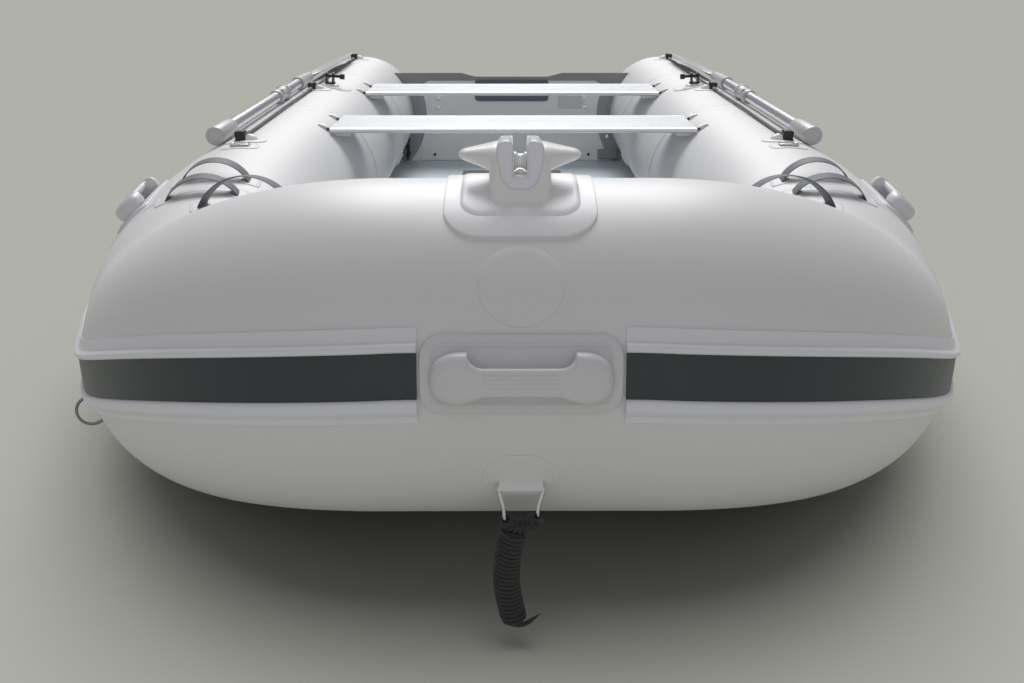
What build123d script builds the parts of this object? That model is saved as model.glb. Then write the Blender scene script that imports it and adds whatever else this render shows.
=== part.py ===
"""Inflatable boat: raised blunt bow, aluminium deck, two benches, transom and a pair of oars.

Millimetres, +Z up, bow towards -Y, port side on +X. The origin is on the floor under the
middle of the overall box. Lengths named "aft" are measured back from the bow tube's axis.
"""
from build123d import *
import math
import os

# ---------------------------------------------------------------- air tubes
TUBE_R = 215.0          # radius of the side tubes
BOW_R = 224.5           # radius of the tube across the bow
AXIS_X = 615.0          # from the centreline to a side tube's axis
BOW_LIFT = 127.0        # rise of the bow tube's axis over the side tubes' axes
BOW_FLAT = 174.0        # half the straight run across the bow
BOW_PULL = 215.0        # how far the corner curve runs on across the bow
SIDE_PULL = 750.0       # how far the corner curve reaches forward from the straight side
BOW_DEPTH = 1050.0      # aft: start of the straight side tubes
LIFT_END = 735.0        # along the axis from the centreline: end of the rise
STRAIGHT_END = 3020.0   # aft: end of the cylindrical side tubes
CONE_LENGTH = 260.0
CONE_TIP_R = 70.0
CONE_TIP_RISE = 40.0    # the cone's tip axis stands this far over the tube's axis
SEAT = 0.3              # clearance under anything glued to a curved tube
STATION_GAP = 60.0      # widest spacing of the tube's and the strake's cross sections

# ---------------------------------------------------------------- rub strake
STRAKE_GAP = 120.0      # half the gap in the strake across the bow, along the axis
BAND_HALF = 6.7         # degrees of tube on each side of the strake's middle line
BEAD_WIDE = 6.6         # degrees of tube under each bead
STRAKE_BOW_ANGLE = 12.4  # degrees above the tube's equator at the bow
STRAKE_LEVEL_AT = 620.0  # along the axis: from here aft it lies on the equator
BAND_THICK = 6.0
BEAD_THICK = 11.0
STRAKE_SEAT = 0.8       # clearance between the strake and the tube
STRAKE_SHORT = 40.0     # the strake stops this far before the cylinder does

# ---------------------------------------------------------------- hull and deck
SKIN = 5.0
SKIN_SEAT = 0.8         # clearance between the bottom skin and the tubes
SKIN_SEAM = 0.6         # gap between the skin's two panels, over the keel strip
SKIN_ANGLE = -112.0     # where the bottom skin meets the tubes
SKIN_SHORT = 120.0      # the bottom skin stops this far before the cylinder does
KEEL_Z = 4.0            # lowest point of the bottom skin's lower face
KEEL_WIDE = 60.0
KEEL_RISE_AT = 1000.0   # aft: the keel line starts to rise towards the bow
DECK_TOP = 40.0
DECK_THICK = 16.0
DECK_FRONT = 520.0      # aft
DECK_GAP = 6.0          # between the deck's edge profile and the tubes
DECK_TRIM = 12.0        # between the deck's aft end and the transom
BOARDS = 4
JOINER = 26.0           # width of the profile between two boards
STRINGER = 23.4         # width of the profile along the boards' sides
STRINGER_LIP = 4.0      # it stands this far over the boards
STRINGER_START = 800.0  # aft
STRINGER_SHORT = 20.0   # it stops this far before the transom

# ---------------------------------------------------------------- transom
TRANSOM_IN = 208.0      # its forward face meets the deck this far before the cylinder's end
TRANSOM_THICK = 32.0
TRANSOM_RAKE = 13.0     # degrees, top leaning aft
TRANSOM_UNDER = 54.0    # its shoulders lie this far under the side tubes' crowns
TRANSOM_DIP = 14.0      # the middle of the top edge lies this far under the shoulders
TRANSOM_EDGE = 100.0    # from a side tube's axis to the board's edge, inside the tube's room
TRANSOM_LOW = 29.0      # height of its lower edge
DIP_HALF = 147.0
DIP_SLOPE = 57.0
CAP_THICK = 3.0
CAP_SKIRT = 26.0        # how far the cap strip reaches down the board
PAD_HALF = 150.0
PAD_HIGH = 92.0
PAD_THICK = 7.0
PAD_UNDER = 26.0        # from the dip down to the pads
BASE_HALF = 373.0       # half width of the strip along the transom's foot
BASE_HIGH = 54.0
BASE_THICK = 4.0
BOLT_X = 297.0
BOLT_UNDER = (95.0, 131.0)   # from the shoulders down to the bolts
BOLT_R = 9.0
BOLT_HEAD = 5.0

# ---------------------------------------------------------------- benches
BENCH_UNDER = 28.0      # bench tops lie this far under the side tubes' crowns
BENCH_CLEAR = 2.2       # between a bench's lower edge and the side tube
BENCH_DEEP = 235.0
BENCH_THICK = 12.0
BENCH_RIB = 14.0        # width of the flanges along its two edges
BENCH_SHEET = 5.0
BRACKET_LONG = 50.0
BRACKET_HIGH = 44.0
BRACKET_IN = 15.0       # from a bench's edge to its foot
BENCH_AFT = (1400.0, 2125.0)   # aft: forward edge of each bench

# ---------------------------------------------------------------- bow fittings
CLEAT_HALF = 39.0       # half width of the pedestal
CLEAT_DEEP = 100.0      # fore and aft, at its top
CLEAT_FOOT = 150.0      # fore and aft, at its foot
APRON_PAD = 8.0         # height of the apron's raised pad over the tube
INSERT_WIDE = 49.4
INSERT_RISE = 17.8      # from the tube's crown up to the insert
SLOT_FLOOR = 21.5
ROLLER_FRONT = 43.0     # the roller's axis lies this far forward of the tube's axis
HORN_SPAN = 78.0
CLEAT_HIGH = 62.0       # over the tube's crown
SLOT_WIDE = 18.0
ROLLER_R = 12.0
PIN_R = 3.0
TOW_ANGLE = -26.0
RING_WIRE = 6.5
TOW_RING_WIDE = 60.0
TOW_RING_HIGH = 66.0

# ---------------------------------------------------------------- oars and oarlocks
OAR_ANGLE = 69.3        # degrees up a side tube at which the stowed oar lies
OAR_AFT = 1070.0        # aft: end of the grip
OAR_LONG = 1780.0
SHAFT_R = 16.0
COLLAR_R = 24.0
COLLAR_LONG = 120.0
GRIP_R = 22.0
GRIP_LONG = 150.0
COLLAR_AFT = 1790.0
SOCKET_AFT = 2057.0
OAR_SOCKET_R = 21.0
OAR_TUCK = 30.0         # how far the shaft goes into the grip and the blade's socket
BLADE_HALF = 80.0
BLADE_THICK = 6.0
LOCK_AFT = 2080.0
LOCK_ANGLE = 94.5       # degrees up a side tube
LOCK_R = 30.0
LOCK_BASE = 8.0
LINE_R = 4.5
LINE_OVER = 2.0         # between the lifeline and the tube
LINE_PAST = 4.9         # between the lifeline and the oarlock's base
CLIP_AFT = (1075.0, 1985.0)
CLIP_LAST_IN = 100.0    # the last clip lies this far before the cylinder's end
CLIP_LONG = 40.0
CLIP_WIDE = 30.0
CLIP_HIGH = 18.0
HANDLE_PROUD = 37.0     # how far the bow handle reaches past its tube
BOW_HANDLE_HALF = 117.0
GRIP_SPAN = 212.0       # length of a handle's grip

AXIS_Z = TUBE_R
BOW_Z = AXIS_Z + BOW_LIFT
STERN_AFT = STRAIGHT_END + CONE_LENGTH
STRAKE_END = STRAIGHT_END - STRAKE_SHORT
TRANSOM_FOOT = STRAIGHT_END - TRANSOM_IN
TRANSOM_TOP = 2 * TUBE_R - TRANSOM_UNDER
BENCH_TOP = 2 * TUBE_R - BENCH_UNDER
LINE_ANGLE = LOCK_ANGLE - math.degrees((LOCK_R + LINE_R + LINE_PAST) / TUBE_R)
BENCH_HALF = AXIS_X - math.sqrt(TUBE_R ** 2 - (BENCH_TOP - BENCH_THICK - TUBE_R) ** 2) - BENCH_CLEAR
CENTRE = (STERN_AFT - BOW_R - HANDLE_PROUD) / 2


def aft(distance):
    """Y of a point that lies this far aft of the bow tube's axis."""
    return distance - CENTRE


# ---------------------------------------------------------------- the tubes' centre line
def corner_point(t):
    """Plan point (x, aft) on the curve from the bow's straight run to the straight side."""
    xs = (BOW_FLAT, BOW_FLAT + BOW_PULL, AXIS_X, AXIS_X)
    ys = (0.0, 0.0, BOW_DEPTH - SIDE_PULL, BOW_DEPTH)
    weights = ((1 - t) ** 3, 3 * t * (1 - t) ** 2, 3 * t * t * (1 - t), t ** 3)
    return (sum(w * x for w, x in zip(weights, xs)), sum(w * y for w, y in zip(weights, ys)))


CORNER_STEPS = 400
CORNER = [corner_point(i / CORNER_STEPS) for i in range(CORNER_STEPS + 1)]
CORNER_ARC = [BOW_FLAT]
for before, after in zip(CORNER, CORNER[1:]):
    CORNER_ARC.append(CORNER_ARC[-1] + math.dist(before, after))
CORNER_END = CORNER_ARC[-1]


def plan(s):
    """Plan point (x, aft) at the distance s >= 0 along the port half of the centre line."""
    if s <= BOW_FLAT:
        return s, 0.0
    if s >= CORNER_END:
        return AXIS_X, BOW_DEPTH + s - CORNER_END
    i = max(k for k in range(CORNER_STEPS) if CORNER_ARC[k] <= s)
    part = (s - CORNER_ARC[i]) / (CORNER_ARC[i + 1] - CORNER_ARC[i])
    (x0, y0), (x1, y1) = CORNER[i], CORNER[i + 1]
    return x0 + part * (x1 - x0), y0 + part * (y1 - y0)


def along(distance):
    """The distance s along the centre line at which it lies this far aft."""
    if distance >= BOW_DEPTH:
        return CORNER_END + distance - BOW_DEPTH
    i = max(k for k in range(CORNER_STEPS) if CORNER[k][1] <= distance)
    return CORNER_ARC[i] + math.dist(CORNER[i], CORNER[i + 1]) / 2


def ease(value):
    value = min(max(value, 0.0), 1.0)
    return value * value * (3 - 2 * value)


def lift(s):
    """Share of the bow's rise at s: all of it across the straight bow, none from LIFT_END on."""
    return ease((LIFT_END - s) / (LIFT_END - BOW_FLAT))


def tube_radius(s):
    return TUBE_R + (BOW_R - TUBE_R) * lift(abs(s))


def axis_point(s):
    x, back = plan(abs(s))
    return Vector(math.copysign(x, s), aft(back), AXIS_Z + BOW_LIFT * lift(abs(s)))


def section(s):
    """Plane across the tube at s (port is positive): x outward, y up."""
    step = 1.0
    tangent = (axis_point(s + step) - axis_point(s - step)).normalized()
    outward = tangent.cross(Vector(0, 0, 1)).normalized()
    return Plane(origin=axis_point(s), x_dir=outward, z_dir=-tangent)


def on_tube(s, angle, height=0.0):
    """Point over the tube's skin; the angle is measured up from straight outward."""
    plane = section(s)
    reach = tube_radius(s) + height
    a = math.radians(angle)
    return plane.origin + plane.x_dir * (reach * math.cos(a)) + plane.y_dir * (reach * math.sin(a))


def spread(first, last, gap):
    """Evenly spaced values from first to last, no further apart than gap."""
    count = max(2, math.ceil((last - first) / gap) + 1)
    return [first + (last - first) * i / (count - 1) for i in range(count)]


def strip_wire(s, angle_from, angle_to, low, high):
    """Outline of a strip lying round the tube at s, between two heights over its skin."""
    middle = (angle_from + angle_to) / 2
    outer = ThreePointArc(on_tube(s, angle_from, high), on_tube(s, middle, high), on_tube(s, angle_to, high))
    inner = ThreePointArc(on_tube(s, angle_to, low), on_tube(s, middle, low), on_tube(s, angle_from, low))
    return Wire([outer, Line(outer @ 1, inner @ 0), inner, Line(inner @ 1, outer @ 0)])


def strip(stations, angles, low, high):
    """Strip along the tube: angles(s) gives its two edges in degrees."""
    return Solid.make_loft([strip_wire(s, *angles(s), low, high) for s in stations])


def write(name, *solids):
    export_step(solids[0] if len(solids) == 1 else Compound(children=list(solids)), f"parts/{name}.step")


def both(solid):
    """A solid and its mirror image across the centreline."""
    return [solid, mirror(solid, about=Plane.YZ)]


# ---------------------------------------------------------------- tubes
def bend_loft(stations, gap=0.0):
    return Solid.make_loft([Wire([Edge.make_circle(tube_radius(s) + gap, section(s))]) for s in stations])


def bend_stations():
    pairs = math.ceil(CORNER_END / STATION_GAP)
    return [CORNER_END * (i + 0.5) / (pairs - 0.5) for i in range(pairs)]


def bow_tube():
    """Tube across the bow that falls and bends aft on each side of it."""
    half = bend_stations()
    return bend_loft([-s for s in reversed(half)] + half)


def side_tube():
    start = Plane(origin=(AXIS_X, aft(BOW_DEPTH + SEAT), AXIS_Z), z_dir=(0, 1, 0))
    return extrude(start * Circle(TUBE_R), STRAIGHT_END - BOW_DEPTH - SEAT)


def stern_cone():
    start = Plane(origin=(AXIS_X, aft(STRAIGHT_END), AXIS_Z), z_dir=(0, 1, 0), x_dir=(1, 0, 0))
    end = Plane(origin=(AXIS_X, aft(STERN_AFT), AXIS_Z + CONE_TIP_RISE), z_dir=(0, 1, 0), x_dir=(1, 0, 0))
    return loft([start * Circle(TUBE_R), end * Circle(CONE_TIP_R)])


def clear_of_tubes(solid, gap=SEAT):
    """The solid with the room of both straight side tubes taken out of it."""
    start = Plane(origin=(AXIS_X, aft(BOW_DEPTH - 600), AXIS_Z), z_dir=(0, 1, 0))
    tube = extrude(start * Circle(TUBE_R + gap), STERN_AFT - BOW_DEPTH + 900)
    for side in both(tube):
        solid = solid - side
    return solid


# ---------------------------------------------------------------- rub strake
def strake_middle(s):
    return STRAKE_BOW_ANGLE * ease((STRAKE_LEVEL_AT - s) / (STRAKE_LEVEL_AT - STRAKE_GAP))


def strake_run(edges, high):
    """Strip from the bow's gap round the corner, then straight to the strake's aft end."""
    round_bow = strip(spread(STRAKE_GAP, CORNER_END, STATION_GAP), edges, STRAKE_SEAT, high)
    end = Face(strip_wire(CORNER_END, *edges(CORNER_END), STRAKE_SEAT, high))
    return round_bow + extrude(end, STRAKE_END - BOW_DEPTH, dir=(0, 1, 0))


def strake_band():
    def edges(s):
        return strake_middle(s) - BAND_HALF, strake_middle(s) + BAND_HALF
    return strake_run(edges, BAND_THICK)


def strake_bead(side):
    def edges(s):
        near = strake_middle(s) + side * (BAND_HALF + 0.06)
        return sorted((near, near + side * BEAD_WIDE))
    return strake_run(edges, BEAD_THICK)


# ---------------------------------------------------------------- hull and deck
def keel_line(distance):
    """Height of the hull's centreline over the floor, this far aft."""
    bow_end = -on_tube(0, SKIN_ANGLE).Z
    rise = ease((KEEL_RISE_AT - distance) / KEEL_RISE_AT)
    return KEEL_Z + (-bow_end - KEEL_Z) * rise ** 2


def skin_edges(s):
    """Points on the tube at s that the bottom skin's lower and upper faces reach out to."""
    lower = on_tube(s, SKIN_ANGLE, SKIN_SEAT)
    drop = (axis_point(s).Z - lower.Z - SKIN) / (tube_radius(s) + SKIN_SEAT)
    return lower, on_tube(s, math.degrees(math.asin(drop)) - 180, SKIN_SEAT)


def skin_outline(s):
    """Outline of the port panel at s, from its seam over the keel strip out to the tube."""
    edge, upper = skin_edges(s)
    inner = upper.X - SEAT
    low = min(keel_line(edge.Y + CENTRE), edge.Z)
    return Wire.make_polygon([(SKIN_SEAM / 2, edge.Y, low + SKIN), (inner, edge.Y, edge.Z + SKIN),
                              (edge.X, edge.Y, edge.Z), (SKIN_SEAM / 2, edge.Y, low)])


def skin_panel():
    front = skin_edges(0)[1].Y
    first = next(s for s in spread(BOW_FLAT, CORNER_END, 5) if on_tube(s, SKIN_ANGLE).Y > front + SEAT)
    stations = spread(first, CORNER_END, STATION_GAP) + [along(STRAIGHT_END - SKIN_SHORT)]
    return Solid.make_loft([skin_outline(s) for s in stations], ruled=True)


def keel_strip():
    start, end = aft(KEEL_RISE_AT), aft(STRAIGHT_END - SKIN_SHORT - JOINER)
    return Pos(0, (start + end) / 2, (KEEL_Z - SEAT) / 2) * Box(KEEL_WIDE, end - start, KEEL_Z - SEAT)


def deck_half_width(distance):
    """Half the width free between the tubes at the deck's height."""
    s = along(distance)
    drop = axis_point(s).Z - (DECK_TOP + STRINGER_LIP)
    reach = math.sqrt(max(tube_radius(s) ** 2 - drop ** 2, 0.0))
    return axis_point(s).X - reach - DECK_GAP


BOARD_STEP = (TRANSOM_FOOT - DECK_TRIM - DECK_FRONT) / BOARDS


def board_half_width(distance):
    return deck_half_width(distance) - STRINGER - 2 * SEAT


def floor_boards():
    boards = []
    for i in range(BOARDS):
        start = DECK_FRONT + i * BOARD_STEP
        end = start + BOARD_STEP - (JOINER if i < BOARDS - 1 else 0)
        rows = [(board_half_width(d), aft(d)) for d in spread(start, end, 2 * STATION_GAP)]
        outline = [(x, y) for x, y in rows] + [(-x, y) for x, y in reversed(rows)]
        board = extrude(Plane.XY.offset(DECK_TOP - DECK_THICK) * make_face(Polyline(*outline, close=True)),
                        DECK_THICK)
        boards.append(board)
    return boards


def floor_joiners():
    joiners = []
    for i in range(1, BOARDS):
        middle = DECK_FRONT + i * BOARD_STEP - JOINER / 2
        bar = Box(2 * board_half_width(middle), JOINER - 2 * SEAT, DECK_THICK)
        joiners.append(Pos(0, aft(middle), DECK_TOP - DECK_THICK / 2) * bar)
    return joiners


def floor_stringer():
    """Edge profile of the deck, standing on the bottom skin."""
    stops = spread(STRINGER_START, TRANSOM_FOOT - STRINGER_SHORT, 2 * STATION_GAP)
    rows = [(deck_half_width(d), aft(d)) for d in stops]
    outline = rows + [(x - STRINGER, y) for x, y in reversed(rows)]
    edge, upper = skin_edges(CORNER_END)
    foot = KEEL_Z + SKIN + (edge.Z - KEEL_Z) * deck_half_width(BOW_DEPTH) / upper.X + SEAT
    top = DECK_TOP + STRINGER_LIP
    return extrude(Plane.XY.offset(foot) * make_face(Polyline(*outline, close=True)), top - foot)


# ---------------------------------------------------------------- transom
RAKE = math.tan(math.radians(TRANSOM_RAKE))
TRANSOM_FACE = Plane(origin=(0, aft(TRANSOM_FOOT), DECK_TOP), x_dir=(1, 0, 0),
                     z_dir=(0, -math.cos(math.radians(TRANSOM_RAKE)), math.sin(math.radians(TRANSOM_RAKE))))


def up_face(z):
    """Distance up the raked forward face of the transom at the height z."""
    return (z - DECK_TOP) / math.cos(math.radians(TRANSOM_RAKE))


def transom_block(top, front=0.0, back=TRANSOM_THICK):
    """The board's shape up to a height, from this far before its face to this far behind it."""
    low, high, dip = up_face(TRANSOM_LOW), up_face(top), up_face(top - TRANSOM_DIP)
    half = AXIS_X - TRANSOM_EDGE
    right = [(half, low), (half, high), (DIP_HALF + DIP_SLOPE, high), (DIP_HALF, dip)]
    outline = right + [(-x, y) for x, y in reversed(right)]
    return extrude(TRANSOM_FACE.offset(front) * make_face(Polyline(*outline, close=True)), -(front + back))


def transom():
    return clear_of_tubes(transom_block(TRANSOM_TOP))


def transom_cap():
    """Grey strip folded over the transom's top edge."""
    outer = transom_block(TRANSOM_TOP + CAP_THICK, CAP_THICK, TRANSOM_THICK + CAP_THICK)
    skirt = TRANSOM_FACE * Pos(0, up_face(TRANSOM_TOP - CAP_SKIRT) + TRANSOM_TOP / 2, 0)
    keep = skirt * Box(2 * AXIS_X, TRANSOM_TOP, 4 * TRANSOM_THICK)
    return clear_of_tubes((outer - transom_block(TRANSOM_TOP)) & keep)


def clamp_pad(forward):
    top = up_face(TRANSOM_TOP - TRANSOM_DIP) - PAD_UNDER
    sketch = Pos(0, top - PAD_HIGH / 2) * RectangleRounded(2 * PAD_HALF, PAD_HIGH, 14)
    if forward:
        return extrude(TRANSOM_FACE * sketch, PAD_THICK)
    return extrude(TRANSOM_FACE.offset(-TRANSOM_THICK) * sketch, -PAD_THICK)


def transom_base_strip():
    sketch = Pos(0, BASE_HIGH / 2 + SEAT) * RectangleRounded(2 * BASE_HALF, BASE_HIGH, BASE_THICK)
    return extrude(TRANSOM_FACE * sketch, BASE_THICK)


def transom_bolts():
    spots = [(side * BOLT_X, up_face(TRANSOM_TOP - down)) for side in (-1, 1) for down in BOLT_UNDER]
    return [extrude(TRANSOM_FACE * (Pos(*spot) * Circle(BOLT_R)), BOLT_HEAD) for spot in spots]


# ---------------------------------------------------------------- benches
def bench(distance):
    inner = BENCH_DEEP - BENCH_RIB
    profile = make_face(Polyline((0, 0), (BENCH_DEEP, 0), (BENCH_DEEP, -BENCH_THICK), (inner, -BENCH_THICK),
                                 (inner, -BENCH_SHEET), (BENCH_RIB, -BENCH_SHEET), (BENCH_RIB, -BENCH_THICK),
                                 (0, -BENCH_THICK), close=True))
    start = Plane(origin=(-BENCH_HALF, aft(distance), BENCH_TOP), x_dir=(0, 1, 0), z_dir=(1, 0, 0))
    return extrude(start * profile, 2 * BENCH_HALF)


def bench_bracket(distance):
    """White foot under a bench's port end, shaped to the tube it rests on."""
    height = BENCH_TOP - BENCH_SHEET - BRACKET_HIGH / 2
    place = Pos(BENCH_HALF - BRACKET_LONG / 2, aft(distance + BENCH_DEEP / 2), height)
    return clear_of_tubes(place * Box(BRACKET_LONG, BENCH_DEEP - 2 * BRACKET_IN, BRACKET_HIGH))


# ---------------------------------------------------------------- bow fittings
def bow_patch(half, angle_from, angle_to, low, high):
    """Pad on the straight bow tube, between two angles and two heights over its skin."""
    start = Plane(origin=(half, aft(0), BOW_Z), x_dir=(0, -1, 0), z_dir=(-1, 0, 0))
    ring = Circle(BOW_R + high) - Circle(BOW_R + low)
    reach = BOW_R * 3
    wedge = make_face(Polyline((0, 0), (reach * math.cos(math.radians(angle_from)),
                                        reach * math.sin(math.radians(angle_from))),
                               (reach * math.cos(math.radians(angle_to)),
                                reach * math.sin(math.radians(angle_to))), close=True))
    return extrude(start * (ring & wedge), 2 * half)


def cleat_apron():
    flange = bow_patch(93.5, 56, 112, SEAT, 3.5)
    pad = bow_patch(74, 64, 106, 3.5, APRON_PAD)
    return flange + pad


CROWN = BOW_Z + BOW_R


def cleat_pedestal():
    """Solid post of the cleat, leaning back a little from a deeper foot."""
    foot = Plane.XY.offset(CROWN - 8) * Pos(0, aft(0)) * Rectangle(2 * CLEAT_HALF, CLEAT_FOOT)
    top = Plane.XY.offset(CROWN + CLEAT_HIGH) * Pos(0, aft(0)) * Rectangle(2 * CLEAT_HALF, CLEAT_DEEP)
    return loft([foot, top])


def bow_cleat():
    horn = Plane(origin=(0, aft(0), CROWN + 40), z_dir=(1, 0, 0)) * Circle(15)
    tip = Plane(origin=(HORN_SPAN, aft(0), CROWN + 41), z_dir=(1, 0, 0)) * Circle(8)
    arms = both(loft([horn, tip]))
    tube = Plane(origin=(-200, aft(0), BOW_Z), z_dir=(1, 0, 0)) * Circle(BOW_R + APRON_PAD + SEAT)
    cleat = cleat_pedestal() + arms[0] + arms[1] - extrude(tube, 400)
    channel = Pos(0, aft(0), CROWN + INSERT_RISE - SEAT + 50) * Box(INSERT_WIDE + 2 * SEAT, 2 * CLEAT_FOOT, 100)
    return cleat - channel


def fairlead_insert():
    block = cleat_pedestal() & Pos(0, aft(0), CROWN + INSERT_RISE + 50) * Box(INSERT_WIDE, 2 * CLEAT_FOOT, 100)
    slot = Pos(0, aft(0), CROWN + SLOT_FLOOR + 50) * Box(SLOT_WIDE, 2 * CLEAT_FOOT, 100)
    bore = extrude(Plane(origin=(-60, ROLLER_Y, ROLLER_Z), z_dir=(1, 0, 0)) * Circle(PIN_R), 120)
    return block - slot - bore


ROLLER_Y = aft(-ROLLER_FRONT)
ROLLER_Z = CROWN + SLOT_FLOOR + 2 + ROLLER_R


def bow_roller():
    start = Plane(origin=(-SLOT_WIDE / 2 + 1, ROLLER_Y, ROLLER_Z), z_dir=(1, 0, 0))
    return extrude(start * (Circle(ROLLER_R) - Circle(PIN_R + 0.2)), SLOT_WIDE - 2)


def roller_pin():
    start = Plane(origin=(-SLOT_WIDE / 2 - 14, ROLLER_Y, ROLLER_Z), z_dir=(1, 0, 0))
    return extrude(start * Circle(PIN_R), SLOT_WIDE + 28)


def handle_bar(plane, length):
    """Moulded grip over a flange: the plane lies on the skin, x along the grip."""
    half = length / 2
    path = FilletPolyline((-half + 14, 0), (-half + 14, 26), (half - 14, 26), (half - 14, 0), radius=18)
    path = plane * path
    shape = Plane(origin=path @ 0, z_dir=path % 0, x_dir=plane.z_dir) * RectangleRounded(26, 20, 8)
    return sweep(shape, path)


def bow_handle():
    flange = bow_patch(BOW_HANDLE_HALF, 1, 24.5, SEAT, 8)
    a = math.radians(10.0)
    out = Vector(0, -math.cos(a), math.sin(a))
    seat = Vector(0, aft(0), BOW_Z) + out * (BOW_R + 4)
    plane = Plane(origin=seat, x_dir=(1, 0, 0), z_dir=Vector(1, 0, 0).cross(out))
    return flange + handle_bar(plane, GRIP_SPAN)


HANDLE_S = 1050.0
HANDLE_ANGLE = 47.0
HANDLE_HALF = 115.0


def side_handle():
    low, high = HANDLE_S - HANDLE_HALF, HANDLE_S + HANDLE_HALF
    flange = strip(spread(low, high, 60), lambda s: (HANDLE_ANGLE - 11, HANDLE_ANGLE + 11), SEAT, 8)
    a = math.radians(HANDLE_ANGLE)
    frame = section(HANDLE_S)
    out = frame.x_dir * math.cos(a) + frame.y_dir * math.sin(a)
    plane = Plane(origin=on_tube(HANDLE_S, HANDLE_ANGLE, 4), x_dir=frame.z_dir,
                  z_dir=frame.z_dir.cross(out))
    return flange + handle_bar(plane, GRIP_SPAN)


# ---------------------------------------------------------------- small fittings on the tubes
# each webbing hoop: its outer foot, its crest with the height over the tube, and its inner foot
HOOPS = (((1030.0, 73.0), (1030.0, 91.0, 34.0), (1030.0, 109.0)),
         ((900.0, 70.0), (900.0, 88.0, 30.0), (900.0, 106.0)),
         ((777.0, 89.0), (722.0, 123.0, 54.0), (702.0, 134.0)))
WEB_WIDE = 50.0
WEB_THICK = 3.0


def hoop(outer_foot, crest, inner_foot):
    """Webbing loop standing across the tube on two feet."""
    start, end = on_tube(*outer_foot, SEAT), on_tube(*inner_foot, SEAT)
    top = on_tube(*crest)
    across = (end - start).normalized()
    square = (top - start).cross(end - start).normalized()
    outward = across.cross(square) * (1 if across.cross(square).Z > 0 else -1)
    outer = ThreePointArc(start, top, end)
    inner = ThreePointArc(end - across * WEB_THICK * 1.2, top - outward * WEB_THICK,
                          start + across * WEB_THICK * 1.2)
    face = Face(Wire([outer, Line(outer @ 1, inner @ 0), inner, Line(inner @ 1, outer @ 0)]))
    strap = clear_of_tubes(extrude(face, WEB_WIDE / 2, dir=square, both=True))
    return strap - bend_loft(bend_stations(), SEAT)


def side_plane(distance, angle, height=0.0, side=1):
    """Plane on a side tube: z straight off the skin, y aft."""
    a = math.radians(angle)
    out = Vector(side * math.cos(a), 0, math.sin(a))
    origin = Vector(side * AXIS_X, aft(distance), AXIS_Z) + out * (TUBE_R + height)
    return Plane(origin=origin, x_dir=Vector(0, 1, 0).cross(out), z_dir=out)


CLIP_PLACES = (*CLIP_AFT, STRAIGHT_END - CLIP_LAST_IN)


def lifeline_spans():
    spans = []
    clear = CLIP_LONG / 2 + SEAT
    for start, end in zip(CLIP_PLACES, CLIP_PLACES[1:]):
        place = side_plane(start + clear, LINE_ANGLE, LINE_R + LINE_OVER)
        line = Plane(origin=place.origin, z_dir=(0, 1, 0)) * Circle(LINE_R)
        spans.append(extrude(line, end - start - 2 * clear))
    return spans


def lifeline_clips():
    clips = []
    for distance in CLIP_PLACES:
        place = side_plane(distance, LINE_ANGLE, SEAT)
        foot = extrude(place * RectangleRounded(CLIP_WIDE, CLIP_LONG, CLIP_LONG / 5), CLIP_HIGH / 6)
        bridge = extrude(place * Rectangle(0.6 * CLIP_WIDE, 0.67 * CLIP_LONG), CLIP_HIGH)
        clips.append(clear_of_tubes(foot + bridge))
    return clips


def oarlock_base():
    sunk = TUBE_R - math.sqrt(TUBE_R ** 2 - LOCK_R ** 2)
    place = side_plane(LOCK_AFT, LOCK_ANGLE, -sunk)
    return clear_of_tubes(extrude(place * Circle(LOCK_R), sunk + LOCK_BASE))


def oarlock_pin():
    """Swivelling fork with the oar's cross pin, its knob pointing inboard."""
    place = side_plane(LOCK_AFT, LOCK_ANGLE, LOCK_BASE + 0.3)
    turn = extrude(place * Circle(18), 5)
    ears = extrude(place * (Pos(-10, 0) * Rectangle(5, 26) + Pos(10, 0) * Rectangle(5, 26)), 34)
    across = Plane(origin=place.origin + place.z_dir * 24 + place.x_dir * 16, z_dir=-place.x_dir)
    bar = extrude(across * Circle(5), 60)
    knob = extrude(across.offset(48) * Circle(9), 14)
    return turn + ears + bar + knob


OAR_REACH = TUBE_R + COLLAR_R + SEAT
OAR_X = AXIS_X + OAR_REACH * math.cos(math.radians(OAR_ANGLE))
OAR_Z = AXIS_Z + OAR_REACH * math.sin(math.radians(OAR_ANGLE))


def oar_line(distance):
    return Plane(origin=(OAR_X, aft(distance), OAR_Z), z_dir=(0, 1, 0), x_dir=(1, 0, 0))


def oar_shaft():
    start = OAR_AFT + GRIP_LONG - OAR_TUCK
    return extrude(oar_line(start) * Circle(SHAFT_R), SOCKET_AFT + OAR_TUCK - start)


def oar_grip():
    grip = extrude(oar_line(OAR_AFT) * Circle(GRIP_R), GRIP_LONG)
    return grip - extrude(oar_line(OAR_AFT + GRIP_LONG - OAR_TUCK) * Circle(SHAFT_R), GRIP_LONG)


def oar_collar():
    start = oar_line(COLLAR_AFT - COLLAR_LONG / 2)
    return extrude(start * (Circle(COLLAR_R) - Circle(SHAFT_R)), COLLAR_LONG)


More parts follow.
